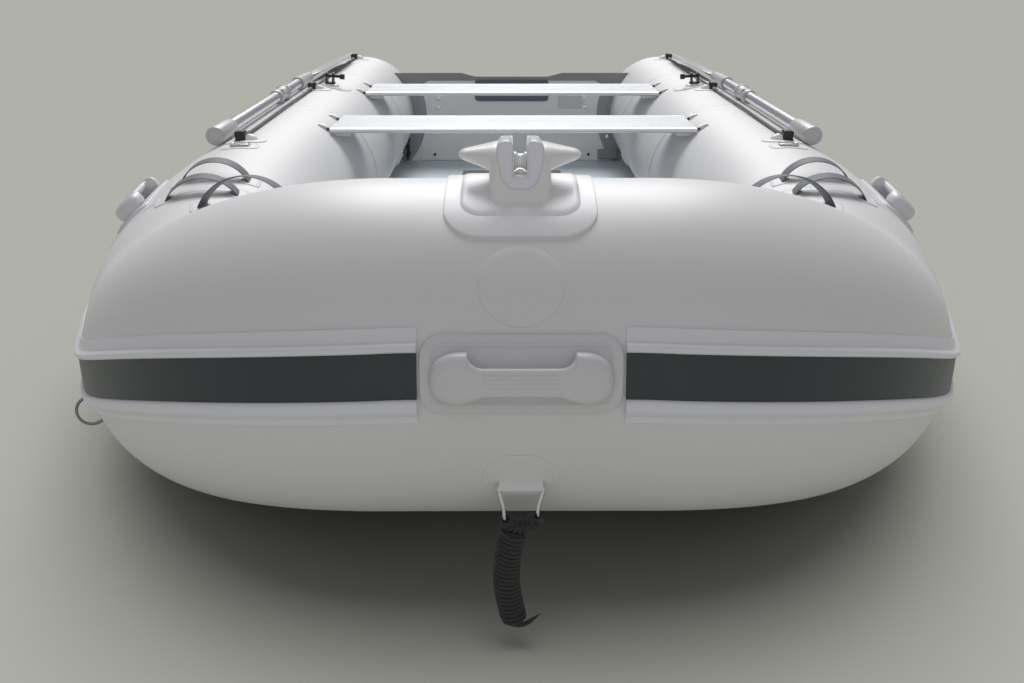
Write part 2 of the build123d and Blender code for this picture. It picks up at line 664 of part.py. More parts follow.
def oar_blade():
    socket = extrude(oar_line(SOCKET_AFT) * Circle(OAR_SOCKET_R), 240)
    socket = socket - extrude(oar_line(SOCKET_AFT) * Circle(SHAFT_R), OAR_TUCK)
    a = math.radians(OAR_ANGLE)
    out = Vector(math.cos(a), 0, math.sin(a))
    flat = Plane(origin=(OAR_X, aft(SOCKET_AFT), OAR_Z), x_dir=Vector(0, 1, 0).cross(out), z_dir=out)
    end = OAR_AFT + OAR_LONG - SOCKET_AFT
    half = BLADE_HALF
    right = [(12, 180), (half - 5, 420), (half, end - 30), (half - 30, end)]
    outline = make_face(Polyline(*right, *[(-x, y) for x, y in reversed(right)], close=True))
    return socket + extrude(flat * outline, BLADE_THICK / 2, both=True)


# ---------------------------------------------------------------- rings, tabs, valves
def ring(plane, wide, high, wire, drawn):
    """D-shaped ring of round wire: flat side up at the plane's origin, hanging along -y."""
    half, drop = (wide - wire) / 2, high - wire
    tight, round_end = half * 0.3, min(half, drop) * 0.97
    path = FilletPolyline((-half, 0), (half, 0), (half, -drop), (-half, -drop),
                          radius=[tight, tight, round_end, round_end], close=True)
    path = plane * path
    start = Plane(origin=path @ 0, z_dir=path % 0)
    return sweep(start * Circle(drawn / 2), path)


def bow_spot(angle, height):
    a = math.radians(angle)
    out = Vector(0, -math.cos(a), math.sin(a))
    return Vector(0, aft(0), BOW_Z) + out * (BOW_R + height), out


def tow_ring_tab():
    patch = bow_patch(48, -33, -14, SEAT, 3)
    spot, out = bow_spot(TOW_ANGLE, 3)
    block = Plane(origin=spot, x_dir=(1, 0, 0), z_dir=out) * Box(42, 26, 16)
    inside = extrude(Plane(origin=(-200, aft(0), BOW_Z), z_dir=(1, 0, 0)) * Circle(BOW_R + SEAT), 400)
    return patch + block - tow_ring(RING_WIRE + 2 * SEAT) - inside


def tow_ring(wire=RING_WIRE):
    hang, _ = bow_spot(TOW_ANGLE, 7)
    return ring(Plane(origin=hang, x_dir=(1, 0, 0), z_dir=(0, -1, 0)), TOW_RING_WIDE, TOW_RING_HIGH, RING_WIRE,
                wire)


SIDE_WIRE = 5.0
SIDE_RING_WIDE = 52.0
SIDE_RING_HIGH = 38.0
SIDE_RING_S = 660.0
SIDE_RING_ANGLE = -21.5
SIDE_PATCH_HALF = 32.0
SIDE_LOOP_HALF = 11.0
SIDE_BAR_HIGH = 6.5     # the ring's straight bar stands this far over the tube's skin


def side_ring(swing, wire=SIDE_WIRE):
    """Port ring with its bar running down the tube, swung from straight out (0) to aft (90 degrees)."""
    frame = section(SIDE_RING_S)
    a, turn = math.radians(SIDE_RING_ANGLE), math.radians(swing)
    out = frame.x_dir * math.cos(a) + frame.y_dir * math.sin(a)
    down = frame.x_dir * math.sin(a) - frame.y_dir * math.cos(a)
    reach = out * math.cos(turn) - frame.z_dir * math.sin(turn)
    bar = Plane(origin=on_tube(SIDE_RING_S, SIDE_RING_ANGLE, SIDE_BAR_HIGH), x_dir=down, z_dir=reach.cross(down))
    return ring(bar, SIDE_RING_WIDE, SIDE_RING_HIGH, SIDE_WIRE, wire)


def side_ring_tab(swing):
    s, a, patch_thick = SIDE_RING_S, SIDE_RING_ANGLE, 2.5
    stops = spread(s - SIDE_PATCH_HALF, s + SIDE_PATCH_HALF, SIDE_PATCH_HALF)
    patch = strip(stops, lambda _: (a - 5.5, a + 5.5), SEAT, patch_thick)
    over = spread(s - SIDE_LOOP_HALF, s + SIDE_LOOP_HALF, SIDE_LOOP_HALF)
    loop = strip(over, lambda _: (a - 3.5, a + 3.5), SEAT, SIDE_BAR_HIGH + SIDE_WIRE)
    return patch + loop - side_ring(swing, SIDE_WIRE + 2 * SEAT)


def top_ring_tab():
    place = side_plane(1000, 88, 0)
    return clear_of_tubes(extrude(place * RectangleRounded(46, 30, 6), 5))


def valve():
    place = side_plane(STRAIGHT_END - 570, 207, -4)
    return clear_of_tubes(extrude(place * Circle(33), 16))


# ---------------------------------------------------------------- free rope and strap
HANK_R = 16.5
HANK_BOTTOM = 38.0
TAIL_R = 3.0
TAIL_END = (30.0, 58.0)     # x and z of the rope's free end, beside the hank's foot


def painter_hank():
    """The wound rope, and the short tail that leaves it near its foot."""
    hang, _ = bow_spot(TOW_ANGLE, 7)
    y, top = hang.Y, hang.Z - TOW_RING_HIGH + RING_WIRE / 2 - SEAT
    foot = Vector(-9, y, HANK_BOTTOM)
    path = Spline((-7, y, top), (-19, y, (top + HANK_BOTTOM) / 2), foot, tangents=((0, 0, -1), (0.4, 0, -1)))
    start = Plane(origin=path @ 0, z_dir=path % 0)
    hank = sweep(start * Circle(HANK_R), path)
    root, tip = foot + Vector(0, 0, 2 * TAIL_R), Vector(TAIL_END[0], y, TAIL_END[1])
    tail = extrude(Plane(origin=root, z_dir=tip - root) * Circle(TAIL_R), (tip - root).length)
    return [hank, tail - hank]


def strap_bundle():
    wide, deep, high = 26, 20, 98
    lie = Pos(TUBE_R + 3 - wide / 2 - AXIS_X - 10, aft(TRANSOM_FOOT - 37), 95)
    return clear_of_tubes(lie * Box(wide, deep, high))


def main():
    os.makedirs("parts", exist_ok=True)
    port_tube, port_cone = side_tube(), stern_cone()
    write("bow_tube", bow_tube())
    write("side_tube_port", port_tube)
    write("side_tube_starboard", both(port_tube)[1])
    write("stern_cones", *both(port_cone))
    write("strake_bands", *both(strake_band()))
    write("strake_beads", *both(strake_bead(1)), *both(strake_bead(-1)))
    write("hull_bottom", *both(skin_panel()))
    write("keel_strip", keel_strip())
    write("floor_boards", *floor_boards())
    write("floor_joiners", *floor_joiners())
    write("floor_stringers", *both(floor_stringer()))
    write("transom", transom())
    write("transom_cap", transom_cap())
    write("clamp_pad_inner", clamp_pad(True))
    write("clamp_pad_outer", clamp_pad(False))
    write("transom_base_strip", transom_base_strip())
    write("transom_bolts", *transom_bolts())
    write("bench_front", bench(BENCH_AFT[0]))
    write("bench_rear", bench(BENCH_AFT[1]))
    write("bench_brackets", *[b for d in BENCH_AFT for b in both(bench_bracket(d))])
    write("cleat_apron", cleat_apron())
    write("bow_cleat", bow_cleat())
    write("fairlead_insert", fairlead_insert())
    write("roller_pin", roller_pin())
    write("bow_roller", bow_roller())
    write("bow_handle", bow_handle())
    handle = side_handle()
    write("side_handle_port", handle)
    write("side_handle_starboard", both(handle)[1])
    hoops = [hoop(*place) for place in HOOPS]
    write("webbing_hoops_port", *hoops)
    write("webbing_hoops_starboard", *[both(h)[1] for h in hoops])
    write("lifelines", *[solid for span in lifeline_spans() for solid in both(span)])
    write("lifeline_clips", *[solid for clip in lifeline_clips() for solid in both(clip)])
    write("oarlock_bases", *both(oarlock_base()))
    pieces = {"oarlock_pin": oarlock_pin(), "oar_shaft": oar_shaft(), "oar_grip": oar_grip(),
              "oar_collar": oar_collar(), "oar_blade": oar_blade()}
    for name, solid in pieces.items():
        write(f"{name}_port", solid)
        write(f"{name}_starboard", both(solid)[1])
    write("tow_ring_tab", tow_ring_tab())
    write("tow_ring", tow_ring())
    write("side_ring_tabs", side_ring_tab(80), both(side_ring_tab(0))[1])
    write("side_rings", side_ring(80), both(side_ring(0))[1])
    write("top_ring_tabs", *both(top_ring_tab()))
    write("valves", *both(valve()))
    write("painter_hank", *painter_hank())
    write("strap_bundle", strap_bundle())


main()
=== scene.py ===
"""Looks of the inflatable boat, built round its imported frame. Metres, +Z up, bow towards -Y, port on +X."""
import bpy
import bmesh
import math
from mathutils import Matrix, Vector, noise


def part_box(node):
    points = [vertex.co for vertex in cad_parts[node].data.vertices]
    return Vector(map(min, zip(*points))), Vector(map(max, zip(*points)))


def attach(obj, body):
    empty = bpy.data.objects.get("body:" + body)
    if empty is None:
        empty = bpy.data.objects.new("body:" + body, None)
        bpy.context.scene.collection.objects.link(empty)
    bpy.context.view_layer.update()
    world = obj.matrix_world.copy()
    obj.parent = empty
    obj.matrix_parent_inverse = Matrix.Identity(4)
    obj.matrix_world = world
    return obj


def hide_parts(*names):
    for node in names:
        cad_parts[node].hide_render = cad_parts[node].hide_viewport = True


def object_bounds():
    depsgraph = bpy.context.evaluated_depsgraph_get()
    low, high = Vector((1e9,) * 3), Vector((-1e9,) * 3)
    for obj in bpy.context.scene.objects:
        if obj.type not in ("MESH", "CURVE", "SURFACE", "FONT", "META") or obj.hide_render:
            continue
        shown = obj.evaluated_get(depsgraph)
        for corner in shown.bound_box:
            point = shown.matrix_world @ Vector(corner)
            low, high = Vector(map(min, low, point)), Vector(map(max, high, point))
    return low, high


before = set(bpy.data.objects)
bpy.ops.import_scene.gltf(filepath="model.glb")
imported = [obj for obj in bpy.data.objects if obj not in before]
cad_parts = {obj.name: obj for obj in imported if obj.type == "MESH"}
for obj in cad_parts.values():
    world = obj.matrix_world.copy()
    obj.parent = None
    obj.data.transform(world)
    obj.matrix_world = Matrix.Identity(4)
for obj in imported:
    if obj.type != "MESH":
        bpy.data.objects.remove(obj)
cad_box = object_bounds()

# ---- sizes shared with the CAD model
TUBE_R, BOW_R = 0.215, 0.2245
AXIS_X, AXIS_Z = 0.615, 0.215
BOW_LIFT, BOW_FLAT = 0.127, 0.174
BOW_PULL, SIDE_PULL, BOW_DEPTH = 0.215, 0.750, 1.050
LIFT_END = 0.735
STRAIGHT_END, CONE_LENGTH = 3.020, 0.260
CONE_TIP_R, CONE_TIP_RISE = 0.070, 0.040
CENTRE = (STRAIGHT_END + CONE_LENGTH - BOW_R - 0.037) / 2
BOW_Z = AXIS_Z + BOW_LIFT
CROWN = BOW_Z + BOW_R
DECK_TOP, TRANSOM_FOOT = 0.040, STRAIGHT_END - 0.208
RAKE = math.radians(13.0)
TRANSOM_TOP = 2 * TUBE_R - 0.054
TRANSOM_DIP = 0.014
BENCH_TOP, BENCH_DEEP, BENCH_HALF = 2 * TUBE_R - 0.028, 0.235, 0.4879
BENCHES = (("bench_front", 1.400), ("bench_rear", 2.125))
OAR_ANGLE, LOCK_AFT, LOCK_ANGLE, LINE_ANGLE = 69.3, 2.080, 94.5, 84.01
OAR_AFT, OAR_END, COLLAR_AFT, SOCKET_AFT = 1.070, 2.850, 1.790, 2.057
CLIPS = (1.075, 1.985, STRAIGHT_END - 0.100)
TOW_ANGLE = -26.0
PORT, BACK, UP = Vector((1, 0, 0)), Vector((0, 1, 0)), Vector((0, 0, 1))


def aft(distance):
    """Y of a place this far aft of the bow tube's axis."""
    return distance - CENTRE


# ---- the tubes' centre line
def corner_point(t):
    xs = (BOW_FLAT, BOW_FLAT + BOW_PULL, AXIS_X, AXIS_X)
    ys = (0.0, 0.0, BOW_DEPTH - SIDE_PULL, BOW_DEPTH)
    weights = ((1 - t) ** 3, 3 * t * (1 - t) ** 2, 3 * t * t * (1 - t), t ** 3)
    return (sum(w * x for w, x in zip(weights, xs)), sum(w * y for w, y in zip(weights, ys)))


CORNER = [corner_point(i / 600) for i in range(601)]
CORNER_ARC = [BOW_FLAT]
for before, after in zip(CORNER, CORNER[1:]):
    CORNER_ARC.append(CORNER_ARC[-1] + math.dist(before, after))
CORNER_END = CORNER_ARC[-1]


def plan(s):
    if s <= BOW_FLAT:
        return s, 0.0
    if s >= CORNER_END:
        return AXIS_X, BOW_DEPTH + s - CORNER_END
    low, high = 0, len(CORNER) - 1
    while high - low > 1:
        middle = (low + high) // 2
        low, high = (middle, high) if CORNER_ARC[middle] <= s else (low, middle)
    part = (s - CORNER_ARC[low]) / (CORNER_ARC[high] - CORNER_ARC[low])
    (x0, y0), (x1, y1) = CORNER[low], CORNER[high]
    return x0 + part * (x1 - x0), y0 + part * (y1 - y0)


def station(distance):
    """Length along the centre line of a place this far aft."""
    if distance >= BOW_DEPTH:
        return CORNER_END + distance - BOW_DEPTH
    k = max(i for i in range(len(CORNER)) if CORNER[i][1] <= distance)
    return CORNER_ARC[k]


def ease(value):
    value = min(max(value, 0.0), 1.0)
    return value * value * (3 - 2 * value)


def lift(s):
    return ease((LIFT_END - abs(s)) / (LIFT_END - BOW_FLAT))


def tube_radius(s):
    return TUBE_R + (BOW_R - TUBE_R) * lift(s)


def axis_point(s):
    x, back = plan(abs(s))
    return Vector((math.copysign(x, s), aft(back), AXIS_Z + BOW_LIFT * lift(s)))


def section(s):
    """Centre, outward, up and onward directions of the tube at s; port is positive."""
    step = 0.004
    onward = (axis_point(s + step) - axis_point(s - step)).normalized()
    outward = onward.cross(UP).normalized()
    return axis_point(s), outward, outward.cross(onward), onward


def on_tube(s, angle, height=0.0):
    """Point this high over the tube's skin; the angle is measured up from straight outward."""
    centre, outward, up, _ = section(s)
    reach, a = tube_radius(s) + height, math.radians(angle)
    return centre + outward * (reach * math.cos(a)) + up * (reach * math.sin(a))


def spread(first, last, gap):
    count = max(2, math.ceil(abs(last - first) / gap) + 1)
    return [first + (last - first) * i / (count - 1) for i in range(count)]


# ---- making pieces
def finish_piece(obj, material, body, smooth=40.0):
    obj.data.materials.clear()
    obj.data.materials.append(material)
    for poly in obj.data.polygons:
        poly.use_smooth = True
    if smooth is not None:
        obj.data.set_sharp_from_angle(angle=math.radians(smooth))
    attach(obj, body)
    return obj


def piece(name, points, faces, material, body="hull", slot=None, smooth=40.0):
    mesh = bpy.data.meshes.new(name)
    mesh.from_pydata([tuple(p) for p in points], [], faces)
    mesh.validate()
    obj = bpy.data.objects.new(name, mesh)
    bpy.context.collection.objects.link(obj)
    rounded = bmesh.new()
    rounded.from_mesh(mesh)
    bmesh.ops.remove_doubles(rounded, verts=rounded.verts, dist=1e-6)
    bmesh.ops.recalc_face_normals(rounded, faces=rounded.faces)
    rounded.to_mesh(mesh)
    rounded.free()
    return finish_piece(obj, material, body, smooth)


def grid(rows, around=False, ends=False):
    """Points and faces of a skin over rows of points; around closes each row on itself."""
    wide = len(rows[0])
    points = [p for row in rows for p in row]
    faces = []
    for i in range(len(rows) - 1):
        for j in range(wide if around else wide - 1):
            k = (j + 1) % wide
            faces.append((i * wide + j, i * wide + k, (i + 1) * wide + k, (i + 1) * wide + j))
    if ends:
        faces.append(tuple(reversed(range(wide))))
        faces.append(tuple((len(rows) - 1) * wide + j for j in range(wide)))
    return points, faces


def solid(rows):
    return grid(rows, around=True, ends=True)


def mm(*rows):
    """Rows of lengths given in millimetres, as metres."""
    return [tuple(round(value / 1000, 6) for value in row) for row in rows]


def merged(*parts):
    points, faces = [], []
    for more_points, more_faces in parts:
        start = len(points)
        points += list(more_points)
        faces += [tuple(start + i for i in face) for face in more_faces]
    return points, faces


def mirrored(part):
    points, faces = part
    return [Vector((-p[0], p[1], p[2])) for p in points], [tuple(reversed(f)) for f in faces]


SIDES = (("port", lambda part: part), ("starboard", mirrored))


def modified(obj, kind, **settings):
    """The object with one modifier applied to its mesh."""
    modifier = obj.modifiers.new(kind, kind)
    for key, value in settings.items():
        setattr(modifier, key, value)
    ready = obj.evaluated_get(bpy.context.evaluated_depsgraph_get())
    mesh = bpy.data.meshes.new_from_object(ready)
    obj.modifiers.clear()
    obj.data = mesh
    return obj


# ---- outlines, pads, sweeps
def rounded_outline(half_u, half_v, radius, corner=8, run=8):
    """Points round a rounded rectangle, counter-clockwise, some of them along its straight sides."""
    r = min(radius, half_u, half_v)
    quarters = ((1, 1), (-1, 1), (-1, -1), (1, -1))
    points = []
    for turn, (du, dv) in enumerate(quarters):
        for k in range(corner + 1):
            t = math.radians(90 * (turn + k / corner))
            points.append((du * (half_u - r) + r * math.cos(t), dv * (half_v - r) + r * math.sin(t)))
        t = math.radians(90 * (turn + 1))
        nu, nv = quarters[(turn + 1) % 4]
        after = (nu * (half_u - r) + r * math.cos(t), nv * (half_v - r) + r * math.sin(t))
        last = points[-1]
        points += [tuple(a + (b - a) * k / run for a, b in zip(last, after)) for k in range(1, run)]
    return points


def oval(half_a, half_b, count=24, power=2.0):
    """Points round an oval; a power over 2 squares it off."""
    points = []
    for k in range(count):
        c, q = math.cos(2 * math.pi * k / count), math.sin(2 * math.pi * k / count)
        points.append((half_a * math.copysign(abs(c) ** (2 / power), c),
                       half_b * math.copysign(abs(q) ** (2 / power), q)))
    return points


def skin_point(s, angle, height=0.0):
    return on_tube(s, angle, wrinkle(s, angle) + height)


def skin_seat(s0, angle0):
    """Maps lengths along and round the tube, and a height, onto its skin near a place."""
    radius = tube_radius(s0)
    return lambda u, v, height: skin_point(s0 + u, angle0 + math.degrees(v / radius), height)


def flat_seat(origin, u_dir, v_dir):
    """Maps two lengths and a height onto a plane."""
    normal = u_dir.cross(v_dir)
    return lambda u, v, height: origin + u_dir * u + v_dir * v + normal * height


INNER = (0.85, 0.65, 0.45, 0.25, 0.02)


def pad(place, half_u, half_v, radius, profile, corner=8, run=8):
    """Closed pad: the profile gives inset and height from its edge inward."""
    def ring(inset, height, shrink=1.0):
        points = rounded_outline(half_u - inset, half_v - inset, max(radius - inset, 0.0008), corner, run)
        return [place(u * shrink, v * shrink, height) for u, v in points]
    low = [ring(0, profile[0][1], k) for k in reversed(INNER)]
    return solid(low + [ring(*step) for step in profile] + [ring(*profile[-1], k) for k in INNER])


def carried(points, outline):
    """Rows of an outline carried along a line without twist."""
    rows, side = [], None
    for k, p in enumerate(points):
        ahead = (points[min(k + 1, len(points) - 1)] - points[max(k - 1, 0)]).normalized()
        side = ahead.cross(UP) if side is None else side - ahead * side.dot(ahead)
        side.normalize()
        up = side.cross(ahead)
        rows.append([p + side * a + up * b for a, b in outline(k)])
    return rows


def woven(obj, wide, lengths):
    """Gives a swept piece coordinates along and round itself for its weave."""
    layer = obj.data.uv_layers.new(name="weave")
    corners = obj.data.loops
    for poly in obj.data.polygons:
        places = [corners[i].vertex_index for i in poly.loop_indices]
        columns = [v % wide for v in places]
        wraps = 0 in columns and wide - 1 in columns
        for i, v, j in zip(poly.loop_indices, places, columns):
            layer.data[i].uv = (lengths[v // wide], (wide if wraps and j == 0 else j) / wide)
    return obj


def along(points):
    lengths = [0.0]
    for a, b in zip(points, points[1:]):
        lengths.append(lengths[-1] + (b - a).length)
    return lengths


def lathed(origin, axis, profile, count=32):
    """Closed turned shape: the profile gives distance along the axis and radius."""
    axis = axis.normalized()
    side = axis.orthogonal().normalized()
    other = axis.cross(side)
    rows = [[origin + axis * t + (side * math.cos(a) + other * math.sin(a)) * max(r, 0.0003)
             for a in (2 * math.pi * k / count for k in range(count))] for t, r in profile]
    return solid(rows)


def dress(name, material):
    """Gives a CAD node a better material."""
    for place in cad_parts[name].material_slots:
        place.material = material


def both_sides(*parts):
    """The parts and their mirror images as one."""
    part = merged(*parts)
    return merged(part, mirrored(part))


# ---- materials
def node(tree, kind, into=(), **settings):
    """New node; into gives its inputs, each a value or a socket to link."""
    item = tree.nodes.new(kind)
    for key, value in settings.items():
        setattr(item, key, value)
    for key, value in dict(into).items():
        if isinstance(value, bpy.types.NodeSocket):
            tree.links.new(value, item.inputs[key])
        else:
            item.inputs[key].default_value = value
    return item


def relieved(tree, height, strength, depth):
    """Adds a relief to a material, over the one that it has."""
    normal = tree.nodes["Principled BSDF"].inputs["Normal"]
    into = {"Height": height, "Strength": strength, "Distance": depth}
    if normal.links:
        into["Normal"] = normal.links[0].from_socket
    tree.links.new(node(tree, "ShaderNodeBump", into).outputs["Normal"], normal)


def surface(name, colour, rough=0.5, metallic=0.0, spread_of=0.03, scale=6.0, bump=0.0, bump_scale=400.0,
            rough_spread=0.06, coat=0.0, sheen=0.0, stretch=(1, 1, 1), specular=0.5):
    """Principled material with uneven colour and roughness and a fine relief."""
    mat = bpy.data.materials.new(name)
    mat.use_nodes = True
    tree = mat.node_tree
    shader = tree.nodes["Principled BSDF"]
    for key, value in (("Metallic", metallic), ("Coat Weight", coat), ("Coat Roughness", 0.15),
                       ("Sheen Weight", sheen), ("Specular IOR Level", specular)):
        shader.inputs[key].default_value = value
    place = node(tree, "ShaderNodeTexCoord")
    mapped = node(tree, "ShaderNodeMapping", {"Vector": place.outputs["Object"], "Scale": stretch})
    cloud = node(tree, "ShaderNodeTexNoise",
                 {"Vector": mapped.outputs["Vector"], "Scale": scale, "Detail": 6.0, "Roughness": 0.6})
    low, high = ([min(max(c * (1 + spread), 0), 1) for c in colour] + [1] for spread in (-spread_of, spread_of))
    tint = node(tree, "ShaderNodeMix", {0: cloud.outputs["Fac"], 6: low, 7: high}, data_type="RGBA")
    tree.links.new(tint.outputs[2], shader.inputs["Base Color"])
    dull = node(tree, "ShaderNodeMapRange", {"Value": cloud.outputs["Fac"]})
    dull.inputs["To Min"].default_value = max(rough - rough_spread, 0.02)
    dull.inputs["To Max"].default_value = min(rough + rough_spread, 1.0)
    tree.links.new(dull.outputs["Result"], shader.inputs["Roughness"])
    if bump:
        into = {"Vector": mapped.outputs["Vector"], "Scale": bump_scale, "Detail": 3.0}
        grain = node(tree, "ShaderNodeTexNoise", into)
        relieved(tree, grain.outputs["Fac"], bump, 0.0006)
    return mat


def braided(mat, pitch, count, depth):
    """Adds the diamonds of a braided sheath, along and round the piece."""
    tree = mat.node_tree

    def maths(operation, *values):
        return node(tree, "ShaderNodeMath", enumerate(values), operation=operation).outputs[0]

    place = node(tree, "ShaderNodeUVMap", uv_map="weave")
    parts = node(tree, "ShaderNodeSeparateXYZ", {0: place.outputs["UV"]})
    run = maths("MULTIPLY", parts.outputs["X"], 2 * math.pi / pitch)
    turn = maths("MULTIPLY", parts.outputs["Y"], 2 * math.pi * count)
    waves = [maths("SINE", maths(kind, run, turn)) for kind in ("ADD", "SUBTRACT")]
    relieved(tree, maths("MULTIPLY", *waves), 0.8, depth)


TUBE_SKIN = surface("tube_skin", (0.755, 0.755, 0.762), rough=0.46, scale=3.0, spread_of=0.012, bump=0.10,
                    bump_scale=900.0, sheen=0.05)
STRAKE_DARK = surface("strake_dark", (0.040, 0.048, 0.054), rough=0.42, scale=9, spread_of=0.10, bump=0.08)
STRAKE_LIGHT = surface("strake_light", (0.80, 0.80, 0.85), rough=0.40, scale=8, spread_of=0.02, bump=0.05)
PLASTIC = surface("moulded_plastic", (0.82, 0.82, 0.81), rough=0.34, scale=14, spread_of=0.02, bump=0.06,
                  bump_scale=700, coat=0.15)
PAD_PLASTIC = surface("pad_plastic", (0.88, 0.88, 0.905), rough=0.42, scale=10, spread_of=0.02, bump=0.08,
                      bump_scale=800)
ROLLER_METAL = surface("roller_metal", (0.90, 0.90, 0.91), rough=0.26, metallic=0.25, scale=30,
                       stretch=(60, 1, 1), bump=0.2, bump_scale=60)
STUDS = surface("stud_plastic", (0.64, 0.635, 0.66), rough=0.45, scale=12, spread_of=0.04, bump=0.05)
HANDLE_PLASTIC = surface("handle_plastic", (0.70, 0.695, 0.72), rough=0.38, scale=12, spread_of=0.025, bump=0.08,
                         bump_scale=900)
INSERT = surface("shield_plastic", (0.80, 0.80, 0.88), rough=0.24, metallic=0.10, scale=10, coat=0.3)
CHROME = surface("chrome", (0.86, 0.87, 0.88), rough=0.12, metallic=1.0, scale=30, spread_of=0.02, rough_spread=0.04)
STEEL = surface("polished_steel", (0.72, 0.73, 0.74), rough=0.20, metallic=1.0, scale=60, spread_of=0.05,
                rough_spread=0.08)
ALLOY = surface("bright_alloy", (0.80, 0.81, 0.83), rough=0.30, metallic=0.85, scale=5,
                stretch=(0.3, 60, 60), bump=0.12, bump_scale=60)
SHAFT_ALLOY = surface("shaft_alloy", (0.66, 0.67, 0.70), rough=0.26, metallic=0.9, scale=5, spread_of=0.05,
                      stretch=(60, 0.3, 60), bump=0.12, bump_scale=40)
DECK_ALLOY = surface("deck_alloy", (0.62, 0.70, 0.75), rough=0.42, metallic=0.45, scale=4, spread_of=0.06,
                     stretch=(40, 0.5, 40), bump=0.2, bump_scale=50)
BOARD = surface("transom_paint", (0.86, 0.86, 0.86), rough=0.45, scale=7, bump=0.08,
                bump_scale=300, coat=0.1)
TRIM = surface("grey_trim", (0.30, 0.31, 0.305), scale=20, spread_of=0.08, bump=0.15, bump_scale=500)
EDGE_TRIM = surface("slate_trim", (0.34, 0.355, 0.38), scale=20, spread_of=0.08, bump=0.12, bump_scale=500)
CLAMP = surface("clamp_plastic", (0.13, 0.135, 0.18), rough=0.33, scale=18, spread_of=0.08, bump=0.1, bump_scale=500)
BLACK = surface("black_plastic", (0.022, 0.022, 0.026), rough=0.38, scale=25, spread_of=0.2, bump=0.15,
                bump_scale=600)
WEBBING = surface("webbing", (0.060, 0.068, 0.076), rough=0.62, scale=40, spread_of=0.12, bump=0.1, bump_scale=600,
                  sheen=0.25)
LINE_ROPE = surface("lifeline_rope", (0.075, 0.078, 0.085), rough=0.55, scale=60, spread_of=0.3, sheen=0.2)
PAINTER = surface("painter_rope", (0.020, 0.020, 0.021), rough=0.55, scale=80, spread_of=0.3, sheen=0.15)
BOTTOM = surface("bottom_fabric", (0.30, 0.31, 0.32), spread_of=0.05, bump=0.15, bump_scale=800)
RING_STEEL = surface("side_ring_steel", (0.30, 0.30, 0.31), rough=0.25, metallic=1.0, scale=60, spread_of=0.05)
# Dark grey for the deck patch just forward of the transom: a painted reflection of the transom, not a mat on the deck.
PAINTED_REFLECTION = surface("painted_reflection_patch", (0.16, 0.18, 0.20), rough=0.6, scale=10, spread_of=0.08, bump=0.2)
STRAP = surface("strap_black", (0.025, 0.026, 0.028), rough=0.6, scale=40, spread_of=0.2, sheen=0.2)
OAR_PLASTIC = surface("oar_plastic", (0.56, 0.56, 0.565), rough=0.36, scale=14, spread_of=0.02, bump=0.05,
                      bump_scale=700)
WEBBING_PALE = surface("pale_webbing", (0.62, 0.62, 0.63), rough=0.6, scale=40, spread_of=0.06, bump=0.2,
                       bump_scale=900)
LABEL = surface("blank_plate", (0.66, 0.66, 0.665), rough=0.4, scale=30, spread_of=0.02, bump=0.03, bump_scale=600)
braided(LINE_ROPE, 0.010, 3, 0.0006)
braided(PAINTER, 0.0048, 4, 0.0005)
braided(WEBBING, 0.0030, 8, 0.0002)
braided(STRAP, 0.0030, 8, 0.0002)

# ---- camera, light and floor
camera = bpy.data.objects.new("camera", bpy.data.cameras.new("camera"))
camera.data.sensor_width, camera.data.lens = 36.0, 34.95
camera.location = (-0.015, aft(-1.264), 0.844)
camera.rotation_euler = (math.radians(68.5), 0, math.radians(-0.23))
bpy.context.collection.objects.link(camera)
bpy.context.scene.camera = camera
bpy.context.scene.view_settings.view_transform = "Standard"

world = bpy.data.worlds.new("studio")
world.use_nodes = True
world.node_tree.nodes["Background"].inputs["Color"].default_value = (0.275, 0.277, 0.284, 1)
world.node_tree.nodes["Background"].inputs["Strength"].default_value = 1.0
bpy.context.scene.world = world

FLOOR = surface("floor", (0.355, 0.36, 0.325), rough=0.9, spread_of=0.0, scale=1.0, specular=0.0)
bpy.ops.mesh.primitive_plane_add(size=160, location=(0, 0, cad_box[0][2] - 0.0005))
floor = bpy.context.object
floor.name = "floor"
floor.data.materials.append(FLOOR)


def lamp(name, strength, elevation, azimuth, angle):
    """Broad light from one direction; azimuth 0 is from dead ahead of the bow."""
    data = bpy.data.lights.new(name, "SUN")
    data.energy, data.angle = strength, math.radians(angle)
    obj = bpy.data.objects.new(name, data)
    e, a = math.radians(elevation), math.radians(azimuth)
    to_light = Vector((math.sin(a) * math.cos(e), -math.cos(a) * math.cos(e), math.sin(e)))
    obj.rotation_euler = to_light.to_track_quat("Z", "Y").to_euler()
    bpy.context.collection.objects.link(obj)
    return obj


back_light = lamp("back_light", 2.52, 42, 180, 34)
top_light = lamp("top_light", 3.00, 82, 180, 66)
front_light = lamp("front_light", 0.26, 38, 0, 70)


def linked(light, state):
    """Lets the floor be the light's only target, or the one thing it leaves out."""
    group = bpy.data.collections.new(f"{light.name}_group")
    light.light_linking.receiver_collection = group
    group.objects.link(floor)
    group.collection_objects[0].light_linking.link_state = state


for light, state in ((back_light, "EXCLUDE"), (top_light, "INCLUDE"), (front_light, "EXCLUDE")):
    linked(light, state)


# ---- air tubes
def wrinkle(s, angle):
    """Small unevenness of the inflated fabric, most of it near the seams."""
    a, s = math.radians(angle), math.sqrt(s * s + 0.004)
    base = noise.noise(Vector((s * 2.3, math.cos(a) * 1.4, math.sin(a) * 1.4))) * 0.0009
    fine = noise.noise(Vector((s * 14, math.cos(a) * 5, math.sin(a) * 5 + 7))) * 0.00022
    pucker = math.exp(-((abs(s) - 0.225) / 0.02) ** 2) * math.exp(-((angle - 58) / 14) ** 2) * -0.0007
    return base + fine + pucker


ROUND = 144


def tube_rows(first, last, gap, count, shape):
    return [[shape(s, 360 * j / count) for j in range(count)] for s in spread(first, last, gap)]


